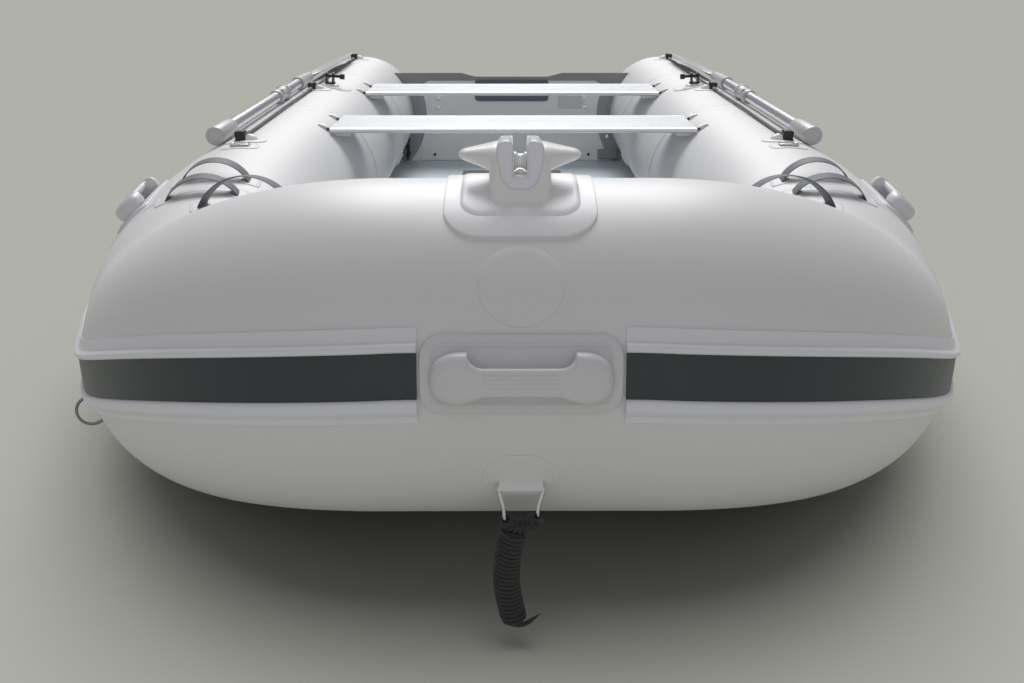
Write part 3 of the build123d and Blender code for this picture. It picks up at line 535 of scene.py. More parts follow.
bow = piece("bow_tube_skin", *grid(tube_rows(-CORNER_END, CORNER_END, 0.012, ROUND,
            lambda s, a: on_tube(s, a, wrinkle(s, a if a < 180 else a - 360))), around=True), TUBE_SKIN,
            slot="tube_fabric", smooth=None)
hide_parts("bow_tube")


def rear_point(distance, angle, side):
    """Point on a straight side tube or its cone, this far aft."""
    past = max(distance - STRAIGHT_END, 0.0) / CONE_LENGTH
    radius = TUBE_R + (CONE_TIP_R - TUBE_R) * past
    a = math.radians(angle)
    s = CORNER_END + distance - BOW_DEPTH
    reach = radius + wrinkle(s, angle if angle < 180 else angle - 360) * (1 - 0.5 * past)
    return Vector((side * (AXIS_X + reach * math.cos(a)), aft(distance),
                   AXIS_Z + CONE_TIP_RISE * past + reach * math.sin(a)))


for side, word in ((1, "port"), (-1, "starboard")):
    rows = [[rear_point(d, 360 * j / ROUND, side) for j in range(ROUND)] for d in spread(BOW_DEPTH, STRAIGHT_END, 0.02)]
    tube = piece(f"side_tube_skin_{word}", *grid(rows, around=True), TUBE_SKIN, slot="tube_fabric", smooth=None)
    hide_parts(f"side_tube_{word}")

cone_parts = []
for side in (1, -1):
    stops = spread(STRAIGHT_END, STRAIGHT_END + CONE_LENGTH - 0.006, 0.012)
    rows = [[rear_point(d, 360 * j / 96, side) for j in range(96)] for d in stops]
    tip = Vector((side * AXIS_X, aft(STRAIGHT_END + CONE_LENGTH), AXIS_Z + CONE_TIP_RISE))
    for shrink in (0.93, 0.7, 0.4, 0.1):
        rows.append([tip + (Vector((p.x, tip.y, p.z)) - tip) * shrink for p in rows[len(stops) - 1]])
    cone_parts.append(solid(rows))
cones = piece("stern_cone_skins", *merged(*cone_parts), TUBE_SKIN, slot="tube_fabric", smooth=None)
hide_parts("stern_cones")


# ---- rub strake
STRAKE_GAP, STRAKE_END = 0.120, STRAIGHT_END - 0.040
STRAKE_RISE, STRAKE_TURN = 12.4, 0.620


def strake_middle(s):
    return STRAKE_RISE * ease((STRAKE_TURN - s) / (STRAKE_TURN - STRAKE_GAP))


UPPER_BEAD = ((14.2, 0.4), (14.15, 2.6), (13.7, 3.0), (13.1, 2.4), (11.2, 2.4), (10.2, 2.9), (9.7, 5.0), (9.2, 8.6),
              (8.7, 10.6), (8.1, 11.3), (7.5, 11.0), (7.05, 9.6), (6.85, 7.4), (6.75, 4.2), (6.75, 0.4))
BAND = ((6.72, 0.4), (6.72, 5.6), (6.0, 5.4), (4.0, 4.6), (0.0, 4.2), (-4.0, 4.6), (-6.0, 5.4), (-6.72, 5.6),
        (-6.72, 0.4))
LOWER_BEAD = ((-6.75, 0.4), (-6.75, 4.4), (-6.9, 8.0), (-7.3, 10.2), (-8.0, 11.4), (-9.0, 11.6), (-10.0, 10.8),
              (-10.9, 8.8), (-11.6, 6.0), (-12.2, 3.6), (-12.9, 2.5), (-13.9, 2.2), (-14.4, 2.3), (-14.6, 1.6),
              (-14.6, 0.4))


def strake_part(profile):
    stops = spread(STRAKE_GAP, CORNER_END, 0.012) + spread(CORNER_END, station(STRAKE_END), 0.05)[1:]
    rows = [[on_tube(s, strake_middle(s) + a, h * 0.001) for a, h in profile] for s in stops]
    return solid(rows)


band = piece("strake_band_skin", *both_sides(strake_part(BAND)), STRAKE_DARK, slot="strake_dark", smooth=50)
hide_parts("strake_bands")
beads = piece("strake_bead_skin", *both_sides(strake_part(UPPER_BEAD), strake_part(LOWER_BEAD)),
              STRAKE_LIGHT, slot="strake_light", smooth=35)
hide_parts("strake_beads")

# ---- painter, hanked and tied to the tow ring
RING_HIGH, RING_WIRE = 0.066, 0.0065
ROPE, SIDES_OF_ROPE = 0.006, 12
tow_out = Vector((0, -math.cos(math.radians(TOW_ANGLE)), math.sin(math.radians(TOW_ANGLE))))
tow_hang = Vector((0, aft(0), BOW_Z)) + tow_out * (BOW_R + 0.007)
BEND_R, SHOULDER, SHOULDER_BEND, WRAP_R = 0.0205, 0.0268, 0.0046, 0.0078
BEND_Z = tow_hang.z - (RING_HIGH - RING_WIRE) + BEND_R


def round_ring(swing, turn):
    """Point on a wrap round the ring's wire, swing degrees from its bottom towards port."""
    f, t = math.radians(swing), math.radians(turn)
    away = Vector((math.sin(f), 0, -math.cos(f)))
    centre = Vector((0, tow_hang.y, BEND_Z)) + away * (BEND_R - 0.0004)
    return centre + (away * math.cos(t) - BACK * math.sin(t)) * WRAP_R


def hank_axis(part):
    """Middle of the hank from its top (0) to its foot (1); it bows to starboard."""
    x = -0.0095 - 0.0090 * math.sin(math.pi * min(part * 1.02, 1)) + 0.0015 * part
    return Vector((x, tow_hang.y, 0.1755 + (0.0445 - 0.1755) * part))


painter_route = []
turn, TURN_STEP = 200.0, 30
for count, first, last in ((36, 76, 25.6), (4, 22, 16), (57, 14, -65.8)):
    for k in range(count):
        painter_route.append(round_ring(first + (last - first) * k / (count - 1), turn))
        turn -= TURN_STEP
PITCH, COIL_R, HANK_LONG = 0.0059, 0.0146, 0.131
LEAD_STEPS = 24
steps = int(HANK_LONG / PITCH * 360 / TURN_STEP)
for k in range(-LEAD_STEPS, steps):
    part = max(k, 0) / steps
    t = math.radians(180 + TURN_STEP * k)
    ahead = (hank_axis(part + 0.01) - hank_axis(part - 0.01)).normalized()
    across = BACK.cross(ahead).normalized()
    if across.x < 0:
        across = -across
    across = (across - UP * 0.07 * (1 - 0.9 * part)).normalized()
    reach = COIL_R * (1 - 0.10 * max(0, part - 0.93) / 0.07) * (1 + 0.012 * math.sin(k * 0.37))
    reach *= min(1.0, 0.20 + 0.80 * (k + LEAD_STEPS) / LEAD_STEPS)
    painter_route.append(hank_axis(part) + across * (reach * math.cos(t)) + BACK * (reach * math.sin(t)))
for x, y, z in mm((-2, -12.5, 45), (6, -11, 46.2), (13, -8, 49), (20, -5, 53), (27, -3, 57)):
    painter_route.append(Vector((x, tow_hang.y + y, z)))
guide = bpy.data.curves.new("painter_guide", "CURVE")
guide.dimensions = "3D"
guide.resolution_u = 5
spline = guide.splines.new("NURBS")
spline.points.add(len(painter_route) - 1)
for point, place in zip(spline.points, painter_route):
    point.co = (*place, 1)
spline.order_u = 3
spline.use_endpoint_u = True
guide_object = bpy.data.objects.new("painter_guide", guide)
bpy.context.collection.objects.link(guide_object)
followed = bpy.data.meshes.new_from_object(guide_object)
painter_line = [Vector(v.co) for v in followed.vertices]
bpy.data.objects.remove(guide_object)
painter_along = along(painter_line)
painter_length = painter_along[-1]


def painter_outline(k):
    left = painter_length - painter_along[k]
    thin = ease(left / 0.020) ** 0.7 if left < 0.020 else 1.0
    half = ROPE / 2 * max(thin, 0.06)
    return oval(half, half, SIDES_OF_ROPE)


painter = piece("painter_rope", *solid(carried(painter_line, painter_outline)), PAINTER,
                slot="rope_black", smooth=60)
woven(painter, SIDES_OF_ROPE, painter_along)
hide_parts("painter_hank")

# ---- tow ring, its patch and strap
wire_line = [Vector((-0.012, tow_hang.y, tow_hang.z)), Vector((-0.0215, tow_hang.y, tow_hang.z))]
for t in [math.radians(t) for t in range(15, 91, 15)]:
    wire_line.append(Vector((-0.0222 - SHOULDER_BEND * math.sin(t), tow_hang.y,
                             tow_hang.z - SHOULDER_BEND * (1 - math.cos(t)))))
for k in range(1, 13):
    fall = k / 12
    z = tow_hang.z - SHOULDER_BEND + (BEND_Z - tow_hang.z + SHOULDER_BEND) * fall
    wire_line.append(Vector((-(BEND_R + (SHOULDER - BEND_R) * (1 - ease(fall))), tow_hang.y, z)))
for t in [math.radians(t) for t in range(7, 91, 7)]:
    wire_line.append(Vector((-BEND_R * math.cos(t), tow_hang.y, BEND_Z - BEND_R * math.sin(t))))
wire_line += [Vector((-v.x, v.y, v.z)) for v in reversed(wire_line)]
ring = piece("tow_ring_wire", *solid(carried(wire_line, lambda k: oval(0.0027, 0.0027, 14))), STEEL,
             slot="steel", smooth=60)
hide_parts("tow_ring")


def bow_seat(angle):
    return skin_seat(0.0, angle)


SOFT_EDGE = mm((0, -0.8), (0, 1.2), (0.6, 2), (2, 2.4))
PATCH_EDGE = mm((0, -0.8), (0, 1), (0.4, 1.6), (1.2, 1.8))
THIN_EDGE = mm((0, -0.6), (0, 0.8), (0.5, 1.5), (1.5, 1.8), (4.5, 1.8), (5.2, 1.2), (6, 1.8))
disc = pad(bow_seat(-24.2), 0.0465, 0.0400, 0.0400, THIN_EDGE, corner=12, run=3)
TAB = ((-24.2, -0.0004, 0.0252), (-24.6, 0.0050, 0.0262), (-25.4, 0.0108, 0.0268), (-26.4, 0.0132, 0.0262),
       (-28.2, 0.0122, 0.0232), (-29.6, 0.0085, 0.0226), (-30.4, 0.0035, 0.0220), (-30.6, -0.0006, 0.0217))
tab_rows = []
for angle, high, half in TAB:
    over = [skin_point(half * (2 * k / 12 - 1), angle, high - (0.0012 if k in (0, 12) else 0.0)) for k in range(13)]
    under = [skin_point(half * (2 * k / 12 - 1), angle, -0.0008) for k in range(13)]
    tab_rows.append(over + under[::-1])
tow_tab = piece("tow_ring_patch", *merged(disc, solid(tab_rows)), TUBE_SKIN,
                slot="tube_fabric", smooth=35)
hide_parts("tow_ring_tab")

# ---- bow cleat
apron = pad(bow_seat(84), 0.0935, 0.1097, 0.045, mm((0, -1), (0, 2.2), (0.7, 3.2), (2.2, 3.6), (11, 3.7), (12.5, 4)),
            corner=12, run=14)
raised = pad(bow_seat(84.9), 0.0745, 0.0825, 0.028,
             mm((0, 3), (1, 4), (2.8, 4.8), (4.8, 5.5), (7, 6), (10, 6.2), (16, 6.2)), corner=12, run=14)
apron_skin = piece("cleat_apron_skin", *merged(apron, raised), PAD_PLASTIC, slot="pad_plastic", smooth=30)
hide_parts("cleat_apron")


def post_face(part, z):
    """Where a face of the leaning pedestal lies at a height over the crown; part is -1 in front, 1 behind."""
    return part * (0.0765 - 0.46 * (z + 0.006) if part < 0 else 0.0600 - 0.78 * max(z, 0.0))


post_rows = []
for z, half_x in mm((-12, 42), (-5, 39.2), (2, 38.5), (12, 38.2), (25, 38), (32, 37), (40, 33), (48, 29), (54, 26.2),
                    (57, 24)):
    post_rows.append([Vector((x, aft(0) + post_face(y, z), CROWN + z))
                      for x, y in ((x, y / 0.05) for x, y in rounded_outline(half_x, 0.05, 0.0090, 5, 5))])
horn_rows = []
for k in range(49):
    x = -0.0780 + 0.156 * k / 48
    out = max(0.0, (abs(x) - 0.030) / 0.048)
    round_end = math.sqrt(max(1 - max(0, (abs(x) - 0.0700) / 0.0081) ** 2, 0.004))
    high = (0.0190 - 0.0140 * out) * round_end
    deep = (0.0400 - 0.0270 * out ** 0.7) * round_end
    middle = CROWN + 0.0350 + 0.0026 * out
    horn_rows.append([Vector((x, aft(0) - 0.0160 * (1 - 0.6 * out) + b + 0.35 * max(-a, 0) * (b < 0), middle + a))
                      for a, b in oval(high, deep, 28, 2.3)])
horns = piece("cleat_horns", *merged(solid(post_rows), solid(horn_rows)), PLASTIC, slot="white_plastic")
modified(horns, "REMESH", mode="VOXEL", voxel_size=0.0015)
modified(horns, "SMOOTH", factor=0.6, iterations=8)
SLOT = mm((-9.4, 20.2), (9.4, 20.2), (9.4, 90), (-9.4, 90))
slot_rows = [[Vector((x, aft(0) + y, CROWN + z)) for x, z in SLOT] for y in (-0.12, 0.12)]
cutter = piece("slot_cutter", *solid(slot_rows), PLASTIC)
modified(horns, "BOOLEAN", operation="DIFFERENCE", solver="EXACT", object=cutter)
bpy.data.objects.remove(cutter)
finish_piece(horns, PLASTIC, "hull", 50.0)
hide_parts("bow_cleat")


def shield_section(top, half, foot):
    """U-shaped section of the fairlead insert: its slot is open at the top."""
    slot = 0.0089
    right = [(slot, 0.0205), (slot, 0.0480), (slot + 0.0003, top - 0.0060), (slot + 0.0012, top - 0.0024),
             (slot + 0.0032, top - 0.0006), (slot + 0.0090, top), (half - 0.0046, top - 0.0018),
             (half - 0.0012, top - 0.0044), (half, top - 0.0090), (half - 0.0012, top - 0.0200),
             (half - 0.0036, top - 0.0320), (half - 0.0066, top - 0.0420), (half - 0.0110, foot + 0.0058),
             (half - 0.0165, foot + 0.0012), (0.0055, foot)]
    return [*right, *[(-x, z) for x, z in reversed(right)]]


SHIELD_PARTS = (-1, -1, -1, -0.95, -0.5, -0.2, 0.3, 0.9, 1, 1)
SHIELD_SIZES = mm((-0.8, 59, 27.6, 9.5), (1.2, 60, 28.6, 7.8), (1.9, 60.6, 29.1, 7), (0, 61.1, 29.3, 7),
                  (0, 60.4, 28.8, 8), (0, 59.6, 28, 9), (0, 58.4, 27.6, 8), (0, 57, 27.2, 7), (1.6, 56, 26.8, 7),
                  (-0.8, 54.5, 25.8, 10))
shield_rows = []
for part, (proud, top, half, foot) in zip(SHIELD_PARTS, SHIELD_SIZES):
    shield_rows.append([Vector((x, aft(0) + post_face(part, z) + math.copysign(proud, part), CROWN + z))
                        for x, z in shield_section(top, half, foot)])
shield = piece("fairlead_shield", *solid(shield_rows), INSERT, slot="insert_plastic", smooth=45)
lining = []
for part in (-0.985, -0.975, 0.975, 0.985):
    outer = mm((-8.8, 20), (-8.8, 50), (-9.6, 51.5), (-8.6, 52), (-8.1, 50), (-8.1, 21.6), (8.1, 21.6), (8.1, 50),
               (8.6, 52), (9.6, 51.5), (8.8, 50), (8.8, 20))
    lining.append([Vector((x, aft(0) + post_face(part, z), CROWN + z)) for x, z in outer])
lip_rows = []
for y, z, half in mm((-52, 23.6, 8.4), (-60, 22.8, 9.4), (-65.5, 21.2, 10.2), (-67.5, 19.2, 10.4)):
    lip_rows.append([Vector((x, aft(0) + y + dy, CROWN + z + dz)) for x, dy, dz in
                     ((-half, 0, 0), (half, 0, 0), (half, 0.0012, -0.0014), (-half, 0.0012, -0.0014))])
lip = piece("fairlead_lip", *solid(lip_rows), ROLLER_METAL, slot="steel", smooth=30)
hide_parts("fairlead_insert")
chrome_lining = piece("fairlead_lining", *solid(lining), CHROME, slot="steel", smooth=30)
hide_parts("fairlead_insert")
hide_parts("fairlead_insert")
dress("roller_pin", STEEL)
ROLLER = Vector((-0.0078, aft(-0.043), CROWN + 0.0355))
wheel_profile = mm((0, 3.4), (0, 10.4), (0.6, 11.6), (1.6, 11.9), (2.6, 11.4), (4, 10), (6, 9.2), (7.8, 9),
                   (9.6, 9.2), (11.6, 10), (13, 11.4), (14, 11.9), (15, 11.6), (15.6, 10.4), (15.6, 3.4))
wheel = piece("bow_roller_wheel", *lathed(ROLLER, PORT, wheel_profile, 40), ROLLER_METAL, body="bow_roller",
              slot="steel", smooth=35)
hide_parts("bow_roller")

# ---- moulded grab handles
HANDLE_PLATE = mm((0, -0.8), (0, 2.4), (0.8, 4), (2.2, 4.8), (9.8, 5.2), (10.8, 6), (12.2, 6.2), (13.4, 5.8),
                  (15, 4.8), (17.5, 4.4))


def handle_body(place):
    rows = []
    for x in [-0.1060 + 0.212 * k / 106 for k in range(107)]:
        out = abs(x)
        rise = min(max((out - 0.0430) / 0.0190, 0.0), 1.0)
        upper = 1 - math.sqrt(max(1 - rise * rise, 0.0))
        lower = ease((out - 0.0400) / 0.0340)
        closed = ease((out - 0.054) / 0.010)
        fall = min(max((out - 0.062) / 0.0442, 0.0), 1.0)
        end = max(1 - fall ** 2.6, 0.0) ** (1 / 2.2)
        end = max(end, 0.06)
        top = 0.0136 + 0.0164 * upper
        low = -0.0196 - 0.0110 * lower
        middle = (top + low) / 2 - 0.0030 * (1 - end)
        half = (top - low) / 2 * end
        far = 0.0330 - 0.0040 * (1 - end) - 0.0010 * lower
        near = (1 - closed) * 0.0165 - closed * 0.0010
        far = near + (far - near) * (0.35 + 0.65 * end)
        section_points = []
        for v, h in oval(half, (far - near) / 2, 36, 2.4 + 0.5 * upper):
            section_points.append(place(x, middle + v, (far + near) / 2 + h))
        rows.append(section_points)
    return solid(rows)


STUD = mm((0, 1.2), (0.9, 1.1), (1.2, 0.7), (1.3, 0.3))


def grip_dots(place):
    """Rows of small round studs along the grip."""
    parts = []
    for row in range(5):
        for k in range(19):
            x = -0.0430 + 0.0860 * (k + (0.5 if row % 2 else 0.0)) / 19
            v = 0.0068 - 0.0048 * row
            rise = 0.0330 - 0.0165 / 2 * (1 - max(1 - abs((v + 0.0023) / 0.0159) ** 2.4, 0) ** (1 / 2.4))
            out = place(x, v, rise + 1) - place(x, v, rise)
            parts.append(lathed(place(x, v, rise - 0.0008), out, STUD, 8))
    return merged(*parts)


def straight_seat(s0, angle0):
    origin = on_tube(s0, angle0)
    centre, _, _, onward = section(s0)
    out = (origin - centre).normalized()
    return flat_seat(origin, onward, out.cross(onward))


tilted = straight_seat(0.0, 10.0)
bow_grip = piece("bow_handle_body", *handle_body(lambda x, v, h: tilted(x, v + 0.0100, h)), HANDLE_PLASTIC,
                 slot="pad_plastic")
bow_plate = piece("bow_handle_plate", *pad(bow_seat(12.8), 0.1170, 0.0466, 0.026, HANDLE_PLATE, corner=10, run=12),
                  HANDLE_PLASTIC, slot="pad_plastic", smooth=30)
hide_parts("bow_handle")
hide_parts("bow_handle")
SIDE_HANDLE = (1.050, 47.0)
side_tilted = straight_seat(*SIDE_HANDLE)
side_parts = merged(handle_body(lambda x, v, h: side_tilted(x, v + 0.0050, h)),
                    pad(skin_seat(*SIDE_HANDLE), 0.1170, 0.0425, 0.026, HANDLE_PLATE, corner=10, run=12))
side_dots = grip_dots(lambda x, v, h: side_tilted(x, v + 0.0050, h))
piece("handle_studs", *merged(grip_dots(lambda x, v, h: tilted(x, v + 0.0100, h)), side_dots, mirrored(side_dots)),
      STUDS, slot="pad_plastic")
for word, part in (("port", side_parts), ("starboard", mirrored(side_parts))):
    grip = piece(f"side_handle_{word}_moulding", *part, HANDLE_PLASTIC, slot="pad_plastic")
    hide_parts(f"side_handle_{word}")

# ---- bare round patch on the bow
piece("bow_round_patch", *pad(bow_seat(39.4), 0.0504, 0.0504, 0.0504, PATCH_EDGE, corner=16, run=2), TUBE_SKIN,
      slot="tube_fabric", smooth=25)


# ---- webbing hoops
def arc_points(first, middle, last, count):
    """Points on the arc through three points."""
    u, v = middle - first, last - first
    w = u.cross(v)
    centre = first + (w.cross(u) * v.length_squared + v.cross(w) * u.length_squared) / (2 * w.length_squared)
    x = (first - centre).normalized()
    y = w.normalized().cross(x)
    radius, end = (first - centre).length, math.atan2((last - centre).dot(y), (last - centre).dot(x)) % (2 * math.pi)
    return [centre + (x * math.cos(end * k / count) + y * math.sin(end * k / count)) * radius
            for k in range(count + 1)]


HOOP_FEET = (((1.030, 73.0), (1.030, 91.0, 0.034), (1.030, 109.0)),
             ((0.900, 70.0), (0.900, 88.0, 0.030), (0.900, 106.0)),
             ((0.777, 89.0), (0.722, 123.0, 0.054), (0.702, 134.0)))
HOOP_STEPS = 56
STRAP_SECTION = ((-1, 0), (-0.97, 0.8), (-0.8, 1), (-0.4, 1), (0, 1), (0.4, 1), (0.8, 1), (0.97, 0.8), (1, 0),
                 (0.97, -0.8), (0.8, -1), (0, -1), (-0.8, -1), (-0.97, -0.8))
hoop_parts, foot_pads = [], []
for outer_foot, crest, inner_foot in HOOP_FEET:
    start, top, end = on_tube(*outer_foot, 0.0006), on_tube(*crest), on_tube(*inner_foot, 0.0006)
    square = (top - start).cross(end - start).normalized()
    if square.y < 0:
        square = -square
    line = arc_points(start, top, end, HOOP_STEPS)
    rows = []
    for k, p in enumerate(line):
        ahead = (line[min(k + 1, HOOP_STEPS)] - line[max(k - 1, 0)]).normalized()
        out = square.cross(ahead)
        out = out if out.dot(p - (start + end) / 2) > 0 else -out
        wide = 0.0240 + 0.0010 * abs(2 * k / HOOP_STEPS - 1) ** 3
        lean = 0.0016 * math.sin(k * 0.9) * 0.15
        middle = p - out * 0.0013
        rows.append([middle + square * (wide * a + lean) + out * (0.0011 * b - 0.0004 * (a * a) * (b > 0))
                     for a, b in STRAP_SECTION])
    hoop_parts.append(solid(rows))
    for foot in (outer_foot, inner_foot):
        foot_pads.append(pad(skin_seat(*foot), 0.034, 0.019, 0.010, THIN_EDGE, corner=5, run=4))
for word, flip in SIDES:
    strap = piece(f"webbing_hoop_straps_{word}", *flip(merged(*hoop_parts)), WEBBING, slot="webbing", smooth=50)
    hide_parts(f"webbing_hoops_{word}")
piece("hoop_foot_patches", *both_sides(*foot_pads), TUBE_SKIN, slot="tube_fabric", smooth=25)


# ---- lifelines, clips and their patches
def side_seat(distance, angle):
    return skin_seat(station(distance), angle)


CLIP_LONG, LINE_R = 0.040, 0.0045
CLIP_BLOCK = mm((0, -0.4), (0, 3.5), (1.2, 4.6), (3, 6.2), (3.4, 20.5), (4.6, 22.8), (6.6, 23.6))
CLIP_SCREW = mm((0, 4), (1.2, 3.8), (1.6, 2.4), (0.8, 2.2), (0.6, 0.4))
DOME = mm((0, 19), (2, 18.8), (5, 16.5), (8.5, 13), (12, 8.5), (14.2, 4.2), (14.8, 0.6))
line_parts, sleeve_parts, clip_parts, dome_parts, patch_parts = [], [], [], [], []
for start, end in zip(CLIPS, CLIPS[1:]):
    first, last = start + CLIP_LONG / 2 + 0.0008, end - CLIP_LONG / 2 - 0.0008
    stops = spread(first, last, 0.012)
    line = [on_tube(station(d), LINE_ANGLE, 0.0064 + 0.0007 * math.sin(d * 9)) for d in stops]
    line_parts.append((line, solid(carried(line, lambda k: oval(LINE_R, LINE_R * 0.9, SIDES_OF_ROPE)))))
    for at, way in ((first, 1), (last, -1)):
        sleeve = [on_tube(station(at + way * t), LINE_ANGLE, 0.0066) for t in (0.001, 0.004, 0.030, 0.052, 0.056)]
        sizes = (0.0044, 0.0062, 0.0060, 0.0055, 0.0046)
        sleeve_parts.append(solid(carried(sleeve, lambda k: oval(sizes[k], sizes[k] * 0.95, 14))))
for word, flip in SIDES:
    for k, (line, part) in enumerate(line_parts):
        rope = piece(f"lifeline_{word}_{k + 1}", *flip(part), LINE_ROPE, slot="rope_grey", smooth=60)
        woven(rope, SIDES_OF_ROPE, along(line))
        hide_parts("lifelines")
piece("lifeline_sleeves", *both_sides(*sleeve_parts), STRAP, slot="black_plastic")
for distance in CLIPS:
    seat = side_seat(distance, LINE_ANGLE)
    clip_parts.append(pad(lambda u, v, h, seat=seat: seat(u * (1 - 3.2 * max(h, 0)), v * 0.92, h), 0.0165, 0.0155,
                          0.006, CLIP_BLOCK, corner=6, run=3))
    clip_parts.append(lathed(seat(-0.004, -0.003, 0.0228), seat(0, 0, 0.1) - seat(0, 0, 0), CLIP_SCREW, 16))
    dome = seat(0.002, 0.0190, 0.0)
    out = (seat(0.002, 0.0190, 0.1) - dome).normalized()
    dome_parts.append(lathed(dome - out * 0.0006, out, DOME, 28))
    patch_parts.append(pad(side_seat(distance, LINE_ANGLE + 2.4), 0.0330, 0.0480, 0.030, SOFT_EDGE, corner=10, run=4))
clips = piece("lifeline_clip_blocks", *both_sides(*clip_parts), BLACK, slot="black_plastic", smooth=35)
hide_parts("lifeline_clips")
piece("lifeline_clip_domes", *both_sides(*dome_parts), PLASTIC, slot="white_plastic")

# ---- oarlocks
lock_seat = side_seat(LOCK_AFT, LOCK_ANGLE)
lock_out = (lock_seat(0, 0, 0.1) - lock_seat(0, 0, 0)).normalized()
lock_foot = on_tube(station(LOCK_AFT), LOCK_ANGLE)
patch_parts.append(pad(lock_seat, 0.055, 0.068, 0.045, SOFT_EDGE, corner=12, run=3))
base = lathed(lock_foot - lock_out * 0.002, lock_out,
              mm((0, 30), (4.2, 30), (6, 29.2), (8, 26.2), (9.2, 20.5), (9.8, 19), (9.9, 6)), 48)
lock_base = piece("oarlock_base_domes", *both_sides(base), PLASTIC, slot="white_plastic", smooth=35)
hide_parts("oarlock_bases")
piece("rail_patches", *both_sides(*patch_parts), TUBE_SKIN, slot="tube_fabric", smooth=25)
for word in ("port", "starboard"):
    dress(f"oarlock_pin_{word}", BLACK)

# ---- oars
OAR_R = 0.024
oar_reach = TUBE_R + OAR_R + 0.0003
OAR_X = AXIS_X + oar_reach * math.cos(math.radians(OAR_ANGLE))
OAR_Z = AXIS_Z + oar_reach * math.sin(math.radians(OAR_ANGLE))
oar_out = Vector((math.cos(math.radians(OAR_ANGLE)), 0, math.sin(math.radians(OAR_ANGLE))))
oar_side = BACK.cross(oar_out)


def oar_at(distance):
    return Vector((OAR_X, aft(distance), OAR_Z))


grip = lathed(oar_at(OAR_AFT), BACK,
              mm((3, 0.5), (2.4, 9), (2.2, 14), (0.4, 15), (0, 16.2), (0.8, 19), (3, 21.2), (7, 22), (90, 21.8),
                 (120, 20.5), (140, 19), (148, 18.2), (150, 17.2)), 48)
collar_profile = mm((0, 16.4), (0, 19.2), (3, 20.5), (24, 21.6), (29, 19), (56, 19), (85, 20.2), (98.5, 21.6),
                    (101, 23.8), (113, 24), (117, 23.6), (120, 21.8), (120, 16.4))
collar = lathed(oar_at(COLLAR_AFT - 0.060), BACK, collar_profile, 48)
socket = mm((0, 17), (0, 20.4), (2, 21), (13, 21), (16, 19.6), (100, 19.2), (200, 15), (236, 11), (240, 6))
blade_parts = [lathed(oar_at(SOCKET_AFT), BACK, socket, 40)]
blade_rows = []
BLADE_HALF = 0.080
for d in spread(SOCKET_AFT + 0.150, OAR_END - 0.0005, 0.014):
    t = d - SOCKET_AFT
    half = 0.012 + (BLADE_HALF - 0.012) * ease((t - 0.165) / 0.245)
    if d > OAR_END - 0.045:
        half -= 0.045 * (1 - math.sqrt(max(1 - ((d - OAR_END + 0.045) / 0.045) ** 2, 0.0)))
    rib = 0.0068 * (1 - ease((t - 0.20) / 0.46))
    row = []
    for face in (1, -1):
        for a in [face * (-1 + 2 * k / 24) for k in range(25)]:
            thick = 0.0028 * (1 - abs(a) ** 8) + rib * math.exp(-(a * half / 0.012) ** 2)
            row.append(oar_at(d) + oar_side * (half * a) + oar_out * (face * thick))
    blade_rows.append(row)
blade_parts.append(solid(blade_rows))
COLLAR_R, hole_axis = 0.0192, oar_at(COLLAR_AFT - 0.020)
hole_spot = hole_axis + oar_out * COLLAR_R * 0.45 - oar_side * COLLAR_R * 0.89
hole_way = (hole_spot - hole_axis).normalized()
button = lathed(hole_spot - hole_way * 0.004, hole_way, mm((0, 6.6), (4.6, 6.6), (5.2, 5.8), (4.4, 4), (4, 0.4)), 20)
for word, flip in SIDES:
    body = f"oar_{word}"
    ends = (("oar_grip_cap", grip, f"oar_grip_{word}"), ("oar_collar_sleeve", collar, f"oar_collar_{word}"),
            ("oar_blade_moulding", merged(*blade_parts), f"oar_blade_{word}"))
    for name, part, stands_for in ends:
        obj = piece(f"{name}_{word}", *flip(part), OAR_PLASTIC, body=body, slot="white_plastic")
        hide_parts(stands_for)
    piece(f"oar_collar_button_{word}", *flip(button), BLACK, body=body, slot="black_plastic")
    dress(f"oar_shaft_{word}", SHAFT_ALLOY)

# ---- rings and tabs
top_seat = side_seat(1.000, 88.0)
tab = pad(top_seat, 0.0150, 0.0230, 0.005, mm((0, -0.8), (0, 1), (1, 2), (3, 2.8), (6, 4.4)), corner=5, run=4)
ring_line = [top_seat(u, v, 0.0052) for u, v in rounded_outline(0.0120, 0.0195, 0.005, 5, 4)]


def looped(points, wire, count=10):
    """Closed loop of round wire through the points."""
    rows, total = [], len(points)
    centre = sum(points, Vector()) / total
    for k, p in enumerate(points):
        ahead = (points[(k + 1) % total] - points[k - 1]).normalized()
        away = p - centre
        away = (away - ahead * away.dot(ahead)).normalized()
        other = ahead.cross(away)
        rows.append([p + away * (wire * math.cos(a)) + other * (wire * math.sin(a))
                     for a in (2 * math.pi * j / count for j in range(count))])
    rows.append(rows[0])
    return grid(rows, around=True)


